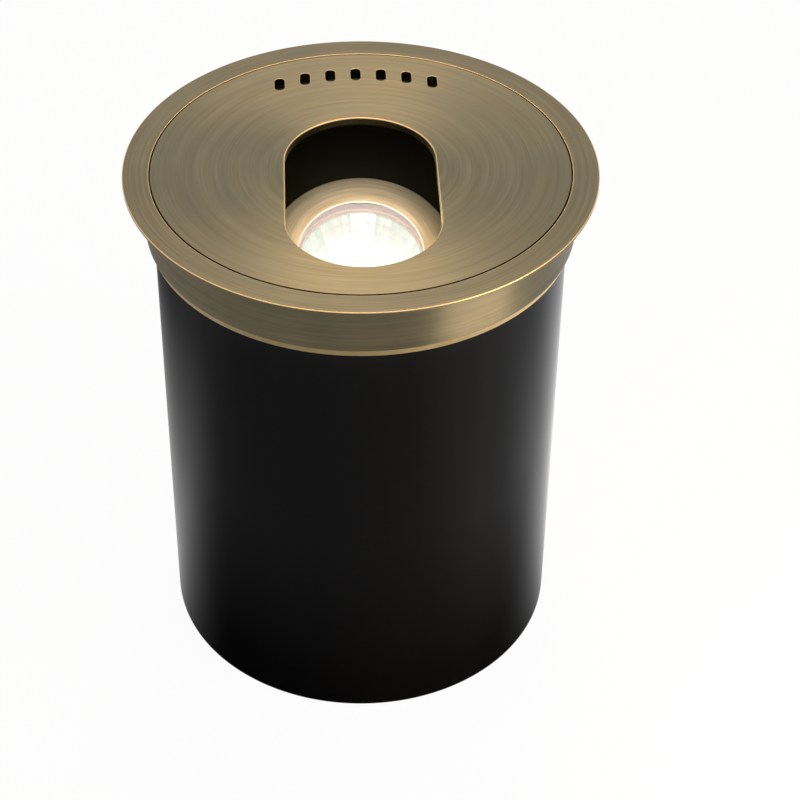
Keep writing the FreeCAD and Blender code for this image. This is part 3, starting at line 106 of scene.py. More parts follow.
@dataclass(frozen=True)
class Axis:
    """A line that pieces are turned about.

    Attributes:
        origin: where the pieces' own z = 0 lies.
        lean: how the line leans, as turns about X, Y and Z.
    """

    origin: tuple[float, float, float] = (0.0, 0.0, 0.0)
    lean: tuple[float, float, float] = (0.0, 0.0, 0.0)

    @property
    def turn(self) -> Matrix:
        """The rotation from the axis's own frame to the scene."""
        return Euler([math.radians(angle) for angle in self.lean]).to_matrix()

    @property
    def place(self) -> Matrix:
        """The full placement, from millimetres about the axis to metres in the scene."""
        shift = Matrix.Translation(Vector(self.origin) * MM)
        return shift @ self.turn.to_4x4() @ Matrix.Scale(MM, 4)

    @property
    def direction(self) -> Vector:
        """Unit vector along the axis."""
        return self.turn @ Vector((0.0, 0.0, 1.0))

    @property
    def centre(self) -> Vector:
        """The axis's origin in metres."""
        return Vector(self.origin) * MM


PIVOT = (0.0, 2.17, 155.73)
WELL_AXIS = Axis()
LAMP_AXIS = Axis(PIVOT, (18.0, 0.0, 0.0))
LEFT_AXIS = Axis(PIVOT, (0.0, -90.0, 0.0))
RIGHT_AXIS = Axis(PIVOT, (0.0, 90.0, 0.0))


@dataclass(frozen=True)
class Corner:
    """One corner of a turned profile.

    Attributes:
        radius: distance from the axis.
        height: place along the axis.
        round: radius that the corner is rounded to.
        sides: 0 for a round section there, or how many flats it has, such as 6 for a hexagon.
        bright_edge: True where the rounding takes the piece's second finish: a painted highlight,
            on the trim ring also rubbed bright by wear.
        finish: number of the finish that the face after the corner takes.
    """

    radius: float
    height: float
    round: float = 0.0
    sides: int = 0
    bright_edge: bool = False
    finish: int = 0


# Trees of nodes, for shaders and for geometry


def add(
    tree: bpy.types.NodeTree,
    kind: str,
    inputs: Sequence[Any] | dict[str, Any] = (),
    **settings: Any,
) -> bpy.types.Node:
    """Add a node with its settings, values and links.

    Args:
        tree: the tree that gets the node.
        kind: Blender's name of the node type.
        inputs: what goes in, in the order of the sockets that the settings leave in use, or by
            their names. Each is a value, an output, a node, which stands for its first output in
            use, or a list of those for a socket that joins them.
        settings: properties of the node.

    Returns:
        The new node.
    """
    node = tree.nodes.new(kind)
    for name, setting in settings.items():
        setattr(node, name, setting)
    if not isinstance(inputs, dict):
        inputs = dict(zip([socket for socket in node.inputs if socket.enabled], inputs))
    for target, given in inputs.items():
        target = node.inputs[target] if isinstance(target, str) else target
        for source in given if isinstance(given, list) else [given]:
            if isinstance(source, bpy.types.Node):
                source = next(socket for socket in source.outputs if socket.enabled)
            if isinstance(source, bpy.types.NodeSocket):
                tree.links.new(source, target)
            else:
                target.default_value = source
    return node


def linear(code: str) -> tuple[float, float, float, float]:
    """Turn an sRGB hex colour to the linear colour that a socket holds.

    Args:
        code: the colour, such as #8F7B57.

    Returns:
        Red, green, blue and an alpha of 1.
    """
    parts = [int(code[place : place + 2], 16) / 255 for place in (1, 3, 5)]
    red, green, blue = (
        part / 12.92 if part <= 0.04045 else ((part + 0.055) / 1.055) ** 2.4 for part in parts
    )
    return red, green, blue, 1.0


def fill_ramp(
    ramp: bpy.types.ColorRamp, stops: Sequence[tuple[float, tuple[float, float, float, float]]]
) -> None:
    """Put colours on a ramp whose own two stops take the first and the last of them.

    Args:
        ramp: the ramp.
        stops: place from 0 to 1 and colour of each stop, in order.
    """
    ramp.elements[0].color = stops[0][1]
    ramp.elements[1].color = stops[-1][1]
    for place, colour in stops[1:-1]:
        ramp.elements.new(place).color = colour


def seen(tree: bpy.types.NodeTree) -> bpy.types.Node:
    """Tell apart what is looked at from what gives light.

    Args:
        tree: the tree of a material or of the world.

    Returns:
        1 for what the camera sees directly, in a gloss or through glass, else 0.
    """
    path = add(tree, "ShaderNodeLightPath").outputs
    first = add(tree, MATH, [path["Is Camera Ray"], path["Is Glossy Ray"]], operation="MAXIMUM")
    return add(tree, MATH, [first, path["Is Transmission Ray"]], operation="MAXIMUM")


# Finishes


@dataclass(frozen=True)
class Finish:
    """What a surface is made of; each kind of finish shades it in its own way."""

    name: str

    def material(self) -> bpy.types.Material:
        """Look up the finish's material, or make it at its first use.

        Returns:
            The material.
        """
        made = bpy.data.materials.get(self.name)
        if made is None:
            made = bpy.data.materials.new(self.name)
            made.use_nodes = True
            made.node_tree.nodes.clear()
            surface = self.shade(made.node_tree)
            add(made.node_tree, "ShaderNodeOutputMaterial", [surface])
        return made

    def shade(self, tree: bpy.types.NodeTree) -> bpy.types.Node:
        """Build the shader in the material's tree and return its last node."""
        raise NotImplementedError


@dataclass(frozen=True)
class TurnedMetal(Finish):
    """Metal brushed on a lathe: fine lines run round its axis and highlights spread across them.

    Attributes:
        axis: the lathe's axis.
        light: colour of the freshly brushed crests.
        dark: colour of the lines between them.
        patina: colour of the browned patches.
        rough: mean roughness.
        spread: how much further the highlight spreads across the lines than along them.
        line: width of the finest lines. Real ones are 0.1 mm or less, too fine for the picture,
            so they are drawn as coarse as they need to show.
        layers: width in finest lines, and ends per radian, of fine lines, broad lines and bands.
        share: how much the fine and the broad lines count.
        contrast: strengths of the lines between which dark turns to light.
        relief: depth of the lines.
        cloud: size of the browned patches.
        banding: how much the bands add to them.
        browning: strengths between which the patina sets in, and how much at most.
        vary: how much the lines change the roughness, up and down.
    """

    axis: Axis = WELL_AXIS
    light: str = "#787159"
    dark: str = "#625B46"
    patina: str = "#5F5D4E"
    rough: float = 0.34
    spread: float = 0.7
    line: float = 0.45
    layers: tuple[tuple[float, float], ...] = ((1.0, 1.6), (4.0, 1.1), (16.0, 0.6))
    share: tuple[float, float] = (0.55, 0.45)
    contrast: tuple[float, float] = (0.34, 0.66)
    relief: float = 0.006
    cloud: float = 30.0
    banding: float = 0.6
    browning: tuple[float, float, float] = (0.62, 1.05, 0.6)
    vary: float = 0.06

    def shade(self, tree: bpy.types.NodeTree) -> bpy.types.Node:
        """Drive colour, roughness and relief by lines in lathe coordinates.

        Args:
            tree: the material's tree.

        Returns:
            The shader.
        """
        way = tuple(self.axis.direction)
        coordinate = add(tree, COORDINATE).outputs["Object"]
        arm = add(tree, VECTOR, [coordinate, tuple(self.axis.centre)], operation="SUBTRACT")
        rise = add(tree, VECTOR, [arm, way], operation="DOT_PRODUCT")
        upward = add(tree, VECTOR, [way, rise], operation="SCALE")
        outward = add(tree, VECTOR, [arm, upward], operation="SUBTRACT")
        reach = add(tree, VECTOR, [outward], operation="LENGTH")
        spoke = add(tree, VECTOR, [outward], operation="NORMALIZE")
        lane = add(tree, MATH, [reach, rise], operation="ADD")
        around = add(tree, VECTOR, [way, spoke], operation="CROSS_PRODUCT")
        frames = {"vector_type": "VECTOR", "convert_from": "OBJECT", "convert_to": "WORLD"}
        tangent = add(tree, "ShaderNodeVectorTransform", [around], **frames)
        fine, broad, bands = (
            self.lines(tree, lane, spoke, times * self.line, ends) for times, ends in self.layers
        )
        faint = add(tree, MATH, [fine, self.share[0]], operation="MULTIPLY")
        both = add(tree, MATH, [broad, self.share[1], faint], operation="MULTIPLY_ADD")
        sharp = add(tree, RANGE, [both, *self.contrast])
        shades = [sharp, linear(self.dark), linear(self.light)]
        brushed = add(tree, MIX, shades, data_type="RGBA")
        clouds = add(tree, NOISE, [coordinate, 1 / (self.cloud * MM), 3.0])
        cloudy = add(tree, MATH, [bands, self.banding, clouds], operation="MULTIPLY_ADD")
        start, end, most = self.browning
        browned = add(tree, RANGE, [cloudy, start, end, 0.0, most])
        colour = add(tree, MIX, [browned, brushed, linear(self.patina)], data_type="RGBA")
        dull, smooth = self.rough + self.vary, self.rough - self.vary
        roughness = add(tree, RANGE, [both, 0.0, 1.0, dull, smooth])
        relief = {"Strength": 0.5, "Distance": self.relief * MM, "Height": both}
        return add(
            tree,
            SURFACE,
            {
                "Base Color": colour,
                "Metallic": 1.0,
                "Roughness": roughness,
                "Normal": add(tree, BUMP, relief),
                "Tangent": tangent,
                "Anisotropic": self.spread,
                "Anisotropic Rotation": 0.25,
            },
        )

    def lines(
        self,
        tree: bpy.types.NodeTree,
        lane: bpy.types.Node,
        spoke: bpy.types.Node,
        width: float,
        breaks: float,
    ) -> bpy.types.Node:
        """Lines round the axis.

        Args:
            tree: the material's tree.
            lane: distance across the lines, in metres.
            spoke: unit vector out from the axis.
            width: width of a line, in millimetres.
            breaks: how often a line ends, in ends per radian.

        Returns:
            The lines' strength, from 0 to 1.
        """
        way = tuple(self.axis.direction)
        across = add(tree, MATH, [lane, 1 / (width * MM)], operation="MULTIPLY")
        step = add(tree, VECTOR, [way, across], operation="SCALE")
        place = add(tree, VECTOR, [spoke, (breaks, breaks, breaks), step], operation="MULTIPLY_ADD")
        return add(tree, NOISE, [place, 1.0, 2.0])


@dataclass(frozen=True)
class PlainFinish(Finish):
    """A moulded, cast, plated or painted surface with a fine pattern of two close colours.

    Attributes:
        light: lighter colour.
        dark: darker colour.
        gloss: lowest and highest roughness.
        metallic: 1 for bare metal, 0 for the rest.
        ior: index of refraction; a metal keeps Blender's own.
        shine: specular level, 0.5 as the index gives it.
        grit: kind of pattern.
        grain: size of the pattern.
        relief: its depth.
        glow: emission from the surface; on the silicone and on the aperture's edge it is painted
            lamp light, on the rim glass the lamp's own light.
    """

    light: str = "#808080"
    dark: str = "#707070"
    gloss: tuple[float, float] = (0.4, 0.5)
    metallic: float = 0.0
    ior: float = 1.5
    shine: float = 0.5
    grit: Grit = Grit.CLOUDS
    grain: float = 1.0
    relief: float = 0.01
    glow: float = 0.0

    def shade(self, tree: bpy.types.NodeTree) -> bpy.types.Node:
        """Drive colour, roughness and relief by one pattern.

        Args:
            tree: the material's tree.

        Returns:
            The shader.
        """
        place = add(tree, COORDINATE).outputs["Object"]
        if self.grit is Grit.STREAKS:
            place = add(tree, "ShaderNodeMapping", {"Vector": place, "Scale": (1.0, 1.0, 0.04)})
        grains = 1 / (self.grain * MM)
        if self.grit is Grit.CELLS:
            pattern = add(tree, "ShaderNodeTexVoronoi", [place, grains], feature="SMOOTH_F1")
        else:
            pattern = add(tree, NOISE, [place, grains, 4.0])
        colour = add(tree, MIX, [pattern, linear(self.dark), linear(self.light)], data_type="RGBA")
        relief = {"Strength": 0.6, "Distance": self.relief * MM, "Height": pattern}
        return add(
            tree,
            SURFACE,
            {
                "Base Color": colour,
                "Metallic": self.metallic,
                "Roughness": add(tree, RANGE, [pattern, 0.0, 1.0, *self.gloss]),
                "IOR": self.ior,
                "Specular IOR Level": self.shine,
                "Normal": add(tree, BUMP, relief),
                "Emission Color": colour,
                "Emission Strength": self.glow,
            },
        )


@dataclass(frozen=True)
class ClearGlass(Finish):
    """Polished glass with a faint film of dust; lamps shine through it.

    Attributes:
        tint: colour of the glass.
        ior: index of refraction.
        light: colour of the light that fills the glass.
        glow: its strength.
        film: size of the film's patches.
    """

    tint: str = "#F6FBF8"
    ior: float = 1.52
    light: str = "#FFF6E4"
    glow: float = 0.0
    film: float = 8.0

    def shade(self, tree: bpy.types.NodeTree) -> bpy.types.Node:
        """Make glass for what is seen through it, clear for the light that passes.

        Args:
            tree: the material's tree.

        Returns:
            The shader.
        """
        coordinate = add(tree, COORDINATE).outputs["Object"]
        film = add(tree, NOISE, [coordinate, 1 / (self.film * MM), 5.0])
        glass = add(
            tree,
            SURFACE,
            {
                "Base Color": linear(self.tint),
                "Roughness": add(tree, RANGE, [film, 0.45, 0.8, 0.0, 0.06]),
                "IOR": self.ior,
                "Transmission Weight": 1.0,
                "Emission Color": linear(self.light),
                "Emission Strength": self.glow,
            },
        )
        clear = add(tree, "ShaderNodeBsdfTransparent", [linear(self.tint)])
        passing = add(tree, "ShaderNodeLightPath").outputs["Is Shadow Ray"]
        return add(tree, "ShaderNodeMixShader", [passing, glass, clear])


@dataclass(frozen=True)
class MirrorBowl(Finish):
    """Faceted glass bowl with a colour-splitting mirror coat, lit from inside.

    Attributes:
        axis: the lamp's axis.
        coat: colour of the coat in plain light.
        throat: radius where the glow is strongest.
        rim: radius where it is weakest.
        glow: strength at the throat and at the rim.
        spark: how much weaker and stronger than that a single facet can be.
        tints: share of the facets up to which each tint runs, and the tint.
    """

    axis: Axis = LAMP_AXIS
    coat: str = "#9EA2A4"
    throat: float = 9.0
    rim: float = 23.6
    glow: tuple[float, float] = (1.9, 0.34)
    spark: tuple[float, float] = (0.78, 1.3)
    tints: tuple[tuple[float, str], ...] = (
        (0.0, "#E9D9C4"),
        (0.3, "#D3EADB"),
        (0.55, "#F6F1E4"),
        (1.0, "#EFE0E6"),
    )

    def shade(self, tree: bpy.types.NodeTree) -> bpy.types.Node:
        """Give each facet its own tint and strength, and more light towards the capsule.

        Args:
            tree: the material's tree.

        Returns:
            The shader.
        """
        coordinate = add(tree, COORDINATE).outputs["Object"]
        arm = add(tree, VECTOR, [coordinate, tuple(self.axis.centre)], operation="SUBTRACT")
        across = add(tree, VECTOR, [arm, tuple(self.axis.direction)], operation="CROSS_PRODUCT")
        reach = add(tree, VECTOR, [across], operation="LENGTH")
        fall = [reach, self.throat * MM, self.rim * MM, *self.glow]
        fade = add(tree, RANGE, fall, interpolation_type="SMOOTHSTEP")
        facet = add(tree, "ShaderNodeAttribute", attribute_name="facet").outputs["Fac"]
        spark = add(tree, RANGE, [facet, 0.0, 1.0, *self.spark])
        tint = add(tree, "ShaderNodeValToRGB", [facet])
        fill_ramp(tint.color_ramp, [(place, linear(code)) for place, code in self.tints])
        return add(
            tree,
            SURFACE,
            {
                "Base Color": linear(self.coat),
                "Metallic": 1.0,
                "Roughness": 0.14,
                "Emission Color": tint,
                "Emission Strength": add(tree, MATH, [fade, spark], operation="MULTIPLY"),
            },
        )


@dataclass(frozen=True)
class HotWire(Finish):
    """Tungsten wire at white heat.

    Attributes:
        colour: colour of its light.
        strength: how bright it is.
        spot: size of its cooler spots.
    """

    colour: str = "#FFE2B0"
    strength: float = 15.0
    spot: float = 0.8

    def shade(self, tree: bpy.types.NodeTree) -> bpy.types.Node:
        """Make light that is a little weaker where the wire is cooler.

        Args:
            tree: the material's tree.

        Returns:
            The shader.
        """
        coordinate = add(tree, COORDINATE).outputs["Object"]
        spots = add(tree, NOISE, [coordinate, 1 / (self.spot * MM), 2.0])
        heat = [spots, 0.0, 1.0, 0.7 * self.strength, 1.3 * self.strength]
        return add(tree, LIGHT, [linear(self.colour), add(tree, RANGE, heat)])


@dataclass(frozen=True)
class FloorPaper(Finish):
    """Pale paper that looks white but keeps the object's shadow.

    Attributes:
        colour: colour of the paper.
        white: share of plain white in what is seen of it.
    """

    colour: str = "#E8E8E8"
    white: float = 0.95

    def shade(self, tree: bpy.types.NodeTree) -> bpy.types.Node:
        """Mix paper and plain white.

        Args:
            tree: the material's tree.

        Returns:
            The shader.
        """
        paper = add(tree, "ShaderNodeBsdfDiffuse", [linear(self.colour)])
        white = add(tree, LIGHT, [linear(WHITE), 1.0])
        share = add(tree, MATH, [seen(tree), self.white], operation="MULTIPLY")
        return add(tree, "ShaderNodeMixShader", [share, paper, white])


@dataclass(frozen=True)
class PaintedReflectionCard(Finish):
    """Painted reflection: a card of greys, black at the sleeve to pale far off, that only glossy
    rays see; the metal and the sleeve reflect its painted shade.

    Attributes:
        tones: angle from the front, anticlockwise seen from above, and grey there.
        near: distances from the well's axis between which the front comes up from black.
        sides: places along Y between which the front changes to the sides.
        close: distances between which the sides get an extra grey, and how much.
        far: distances between which the card fades to white, and how much.
    """

    tones: tuple[tuple[float, float], ...] = (
        (-180.0, 0.6),
        (-175.0, 0.5),
        (-140.0, 0.08),
        (-125.0, 0.1),
        (-92.0, 0.2),
        (-60.0, 0.16),
        (20.0, 0.16),
        (55.0, 0.34),
        (95.0, 0.4),
        (125.0, 0.7),
        (180.0, 0.6),
    )
    near: tuple[float, float] = (90.0, 170.0)
    sides: tuple[float, float] = (-60.0, 30.0)
    close: tuple[float, float, float] = (270.0, 130.0, 0.42)
    far: tuple[float, float, float] = (290.0, 400.0, 0.9)

    def shade(self, tree: bpy.types.NodeTree) -> bpy.types.Node:
        """Mix the greys and give them as plain light.

        Args:
            tree: the material's tree.

        Returns:
            The shader.
        """
        coordinate = add(tree, COORDINATE).outputs["Object"]
        reach = add(tree, VECTOR, [coordinate], operation="LENGTH")
        parts = add(tree, SEPARATE, [coordinate]).outputs
        front = add(tree, MATH, [parts["Y"], -1.0], operation="MULTIPLY")
        turn = add(tree, MATH, [parts["X"], front], operation="ARCTAN2")
        painted_grey = add(tree, "ShaderNodeValToRGB", [add(tree, RANGE, [turn, -math.pi, math.pi])])
        painted_grey.color_ramp.interpolation = "EASE"
        greys = [(angle / 360.0 + 0.5, (tone, tone, tone, 1.0)) for angle, tone in self.tones]
        fill_ramp(painted_grey.color_ramp, greys)
        edges = [parts["Y"], *(place * MM for place in self.sides)]
        aside = add(tree, RANGE, edges, interpolation_type="SMOOTHSTEP")
        near = add(tree, RANGE, [reach, *(place * MM for place in self.near)])
        kept = add(tree, MATH, [near, aside], operation="MAXIMUM")
        shaded = add(tree, MATH, [painted_grey, kept], operation="MULTIPLY")
        start, end, most = self.close
        close = add(tree, RANGE, [reach, start * MM, end * MM, 0.0, most])
        lifted = add(tree, MATH, [aside, close, shaded], operation="MULTIPLY_ADD")
        start, end, most = self.far
        far = add(tree, RANGE, [reach, start * MM, end * MM, 0.0, most])
        tone = add(tree, MIX, [far, lifted, 1.0])
        return add(tree, LIGHT, [linear(WHITE), tone])


# Browned and brushed brass: warm mid brown-gold, metallic, with soft wide highlights and lines
# that run round the lathe's axis.
LID_BRASS = TurnedMetal("brass_lid_faced")
RING_BRASS = TurnedMetal(
    "brass_ring_turned", light="#6A6552", dark="#565140", patina="#545347", rough=0.4, spread=0.3
)
# Painted light: the collar's wall takes a lighter copy of the ring's brass, for the light that it
# catches.
COLLAR_BRASS = TurnedMetal("brass_collar_painted_light", light="#897C61", dark="#6F644D", rough=0.36)
BEZEL_BRASS = TurnedMetal(
    "brass_bezel_turned",
    axis=LAMP_AXIS,
    light="#E2D2B2",
    dark="#C2B08C",
    patina="#AE9D7E",
    rough=0.48,
    spread=0.3,
)
LEFT_BRASS = TurnedMetal("brass_knob_left", axis=LEFT_AXIS, rough=0.3)
RIGHT_BRASS = TurnedMetal("brass_knob_right", axis=RIGHT_AXIS, rough=0.3)
# The same brass where the browning is rubbed off its edges, made brighter as a painted highlight:
# bright gold, smoother.
EDGE_BRASS = PlainFinish(
    "brass_edge_worn_and_highlit",
    light="#D6B886",
    dark="#B8996A",
    gloss=(0.34, 0.46),
    metallic=1.0,
    grain=3.0,
    relief=0.002,
)
# The cut lead-in under the collar: pale gold, satin, a painted highlight for the light that it
# catches from the floor.
TAPER_BRASS = replace(
    EDGE_BRASS, name="brass_taper_painted_highlight", light="#DCC696", dark="#CCB484", gloss=(0.5, 0.6)
)
# The aperture's polished edge right in front of the lit lamp: a thin line, nearly white, painted as
# a highlight with a painted glow.
BEZEL_EDGE = replace(
    EDGE_BRASS,
    name="brass_aperture_painted_highlight",
    light="#FFF4E2",
    dark="#F3E4CC",
    gloss=(0.2, 0.3),
    glow=0.55,
)
# The same brass on cut walls, not brushed, darkened to a dull dark olive as painted shade; the
# break round the plate's outer edge takes it as a painted shadow in the seam.
WALL_SHADE_BRASS = PlainFinish(
    "brass_wall_painted_shade",
    light="#2F2B20",
    dark="#211E16",
    gloss=(0.5, 0.62),
    metallic=1.0,
    grain=1.5,
)
# Turned aluminium, dark anodised: grey-brown, satin, with faint tool lines.
CUP_METAL = TurnedMetal(
    "aluminium_cup_anodised",
    axis=LAMP_AXIS,
    light="#5A5752",
    dark="#45423E",
    patina="#3B3835",
    rough=0.38,
)
# Extruded ABS tube, polished by the die: deep black with sharp reflections and faint long streaks.
TUBE_BLACK = PlainFinish(
    "abs_tube_black",
    light="#0C0C0C",
    dark="#080808",
    gloss=(0.1, 0.17),
    shine=0.25,
    grit=Grit.STREAKS,
    grain=6.0,
)
# Moulded ABS: black, satin, with a very fine spark-eroded texture.
MOULDED_BLACK = PlainFinish(
    "abs_moulded_black", light="#161617", dark="#0E0E0F", gloss=(0.35, 0.5), grain=0.6, relief=0.02
)
# EPDM rubber: charcoal, dull, slightly dusty.
RUBBER = PlainFinish(
    "epdm_rubber", light="#2A2A2A", dark="#1B1B1B", gloss=(0.6, 0.8), grain=1.2, relief=0.02
)
# Silicone rubber, pressed: translucent, with a wet gleam; its lilac tint and its glow are painted
# lamp light, for the lamp's light that shines through it.
SILICONE = PlainFinish(
    "silicone_painted_lamp_glow",
    light="#DCC9C4",
    dark="#C3AAAA",
    gloss=(0.3, 0.42),
    ior=1.41,
    grain=2.0,
    glow=1.0,
)
# Acetal, machined: ivory, waxy.
ACETAL = PlainFinish(
    "acetal_machined", light="#DAD6C8", dark="#CBC6B6", gloss=(0.35, 0.45), ior=1.48, grain=1.5
)
# Powder-coated steel: black with a fine orange peel.
COATED_STEEL = PlainFinish(
    "steel_powder_coated",
    light="#1B1B1C",
    dark="#121213",
    gloss=(0.32, 0.45),
    grit=Grit.CELLS,
    grain=0.5,
    relief=0.03,
)
# Stainless steel, cold headed: cool grey with short drawn marks.
STEEL = PlainFinish(
    "stainless_steel_drawn",
    light="#B7B6B2",
    dark="#8E8D89",
    gloss=(0.22, 0.36),
    metallic=1.0,
    grit=Grit.STREAKS,
    grain=0.35,
    relief=0.006,
)
# Steatite ceramic, fired: off-white, chalky, with fine grey specks.
CERAMIC = PlainFinish(
    "steatite_fired",
    light="#E6E1D6",
    dark="#CFC9BC",
    gloss=(0.5, 0.65),
    ior=1.6,
    grit=Grit.CELLS,
    grain=0.35,
    relief=0.02,
)
# Silicone-covered lead: white, satin, faintly ribbed by the braid under it.
LEAD_COVER = PlainFinish(
    "lead_silicone_covered", light="#E4E0D8", dark="#CFCAC0", gloss=(0.4, 0.55), grain=0.4
)
# Nylon, moulded: black, satin, with a fine leathery texture.
NYLON = PlainFinish(
    "nylon_moulded",
    light="#1F1F20",
    dark="#151516",
    gloss=(0.42, 0.55),
    ior=1.53,
    grit=Grit.CELLS,
    grain=0.7,
    relief=0.03,
)
# Glass of the reflector's rim, where the mirror coat ends: peach, glossy, lit from within.
RIM_GLASS = PlainFinish(
    "lamp_glass_rim",
    light="#F3DCCF",
    dark="#DDBFB4",
    gloss=(0.12, 0.22),
    grain=3.0,
    relief=0.004,
    glow=0.6,
)
# Toughened glass, clear with a hint of green.
LENS_GLASS = ClearGlass("toughened_glass")
# Quartz, quite clear and full of the filament's light.
QUARTZ = ClearGlass("quartz_glass", tint=WHITE, ior=1.46, glow=0.5)
# Pressed glass with a vapour-deposited coat: facets of pale green, rose and cream light.
MIRROR = MirrorBowl("mirror_bowl_lit")
# Drawn tungsten at work: a thread of warm white.
FILAMENT = HotWire("tungsten_lit")
# The studio's own papers: the floor, and a card of painted reflection
PAPER = FloorPaper("floor_paper_white")
CARD = PaintedReflectionCard("card_painted_reflection")


# Meshes


def rounded(profile: Sequence[Corner], steps: int) -> list[Corner]:
    """Replace each rounded corner of a closed profile by points on its arc.

    Args:
        profile: the corners in order.
        steps: straight pieces to an arc.

    Returns:
        The points of the rounded profile.
    """
    points: list[Corner] = []
    for index, corner in enumerate(profile):
        here = Vector((corner.radius, corner.height))
        if corner.round <= 0.0:
            points.append(corner)
            continue
        before, after = profile[index - 1], profile[(index + 1) % len(profile)]
        back = (Vector((before.radius, before.height)) - here).normalized()
        ahead = (Vector((after.radius, after.height)) - here).normalized()
        half = back.angle(ahead) / 2
        centre = here + (back + ahead).normalized() * corner.round / math.sin(half)
        first = here + back * corner.round / math.tan(half) - centre
        last = here + ahead * corner.round / math.tan(half) - centre
        start = math.atan2(first.y, first.x)
        sweep = (math.atan2(last.y, last.x) - start + math.pi) % (2 * math.pi) - math.pi
        for step in range(steps + 1):
            angle = start + sweep * step / steps
            reach = centre + corner.round * Vector((math.cos(angle), math.sin(angle)))
            bright_edge = corner.bright_edge and step < steps
            points.append(Corner(reach.x, reach.y, 0.0, corner.sides, bright_edge, corner.finish))
    return points


def turned(
    name: str,
    profile: Sequence[Corner],
    segments: int = 192,
    steps: int = 4,
    finishes: Sequence[Finish] = (),
) -> bpy.types.Mesh:
    """Turn a closed profile about Z, in millimetres.

    Args:
        name: the mesh's name.
        profile: corners, anticlockwise with the radius to the right and the height upwards.
        segments: flats round the axis.
        steps: straight pieces to a rounded corner.
        finishes: the piece's finish, that of its bright edges (painted highlight, and wear on the
            trim ring), and any others.

    Returns:
        A closed mesh whose faces point outwards.
    """
    points: list[tuple[float, float, float]] = []
    rings: list[list[int]] = []
    outline = rounded(profile, steps)
    for corner in outline:
        if corner.radius < 1e-6:
            rings.append([len(points)] * segments)
            points.append((0.0, 0.0, corner.height))
            continue
        rings.append(list(range(len(points), len(points) + segments)))
        for number in range(segments):
            angle = 2 * math.pi * number / segments
            radius = corner.radius
            if corner.sides:
                share = 2 * math.pi / corner.sides
                off = angle % share - share / 2
                radius *= math.cos(share / 2) / math.cos(off)
            points.append((radius * math.cos(angle), radius * math.sin(angle), corner.height))
    faces: list[list[int]] = []
    numbers: list[int] = []
    for corner, low, high in zip(outline, rings, rings[1:] + rings[:1]):
        for number in range(segments):
            beside = (number + 1) % segments
            face = dict.fromkeys((low[number], low[beside], high[beside], high[number]))
            if len(face) > 2:
                faces.append(list(face))
                numbers.append(1 if corner.bright_edge else corner.finish)
    mesh = bpy.data.meshes.new(name)
    mesh.from_pydata(points, [], faces)
    for finish in finishes:
        mesh.materials.append(finish.material())
    mesh.polygons.foreach_set("material_index", numbers)
    mesh.update()
    mesh.shade_smooth()
    mesh.set_sharp_from_angle(angle=SHARP)
    return mesh


def show(name: str, data: bpy.types.ID) -> bpy.types.Object:
    """Put an object into the scene.

    Args:
        name: its name.
        data: its mesh, light or camera.

    Returns:
        The object.
    """
    item = bpy.data.objects.new(name, data)
    bpy.context.scene.collection.objects.link(item)
    return item


def settled(host: bpy.types.Object) -> bpy.types.Mesh:
    """Turn an object and its modifiers into a plain mesh.

    Args:
        host: the object, which is removed.

    Returns:
        The mesh.
    """
    depsgraph = bpy.context.evaluated_depsgraph_get()
    mesh = bpy.data.meshes.new_from_object(
        host.evaluated_get(depsgraph), preserve_all_data_layers=True, depsgraph=depsgraph
    )
    bpy.data.objects.remove(host)
    return mesh


def cut_holes(mesh: bpy.types.Mesh, cutters: Sequence[bpy.types.Mesh]) -> bpy.types.Mesh:
    """Cut shapes out of a mesh.

    Args:
        mesh: what is cut, in the same units as the cutters.
        cutters: closed meshes that take their shape away.

    Returns:
        The mesh with its holes.
    """
    host = show("cut_host", mesh)
    tools = [show(f"cutter_{number}", cutter) for number, cutter in enumerate(cutters)]
    for tool in tools:
        modifier = host.modifiers.new(tool.name, "BOOLEAN")
        modifier.operation = "DIFFERENCE"
        modifier.solver = "EXACT"
        modifier.object = tool
    result = settled(host)
    for tool in tools:
        bpy.data.objects.remove(tool)
    result.set_sharp_from_angle(angle=SHARP)
    return result


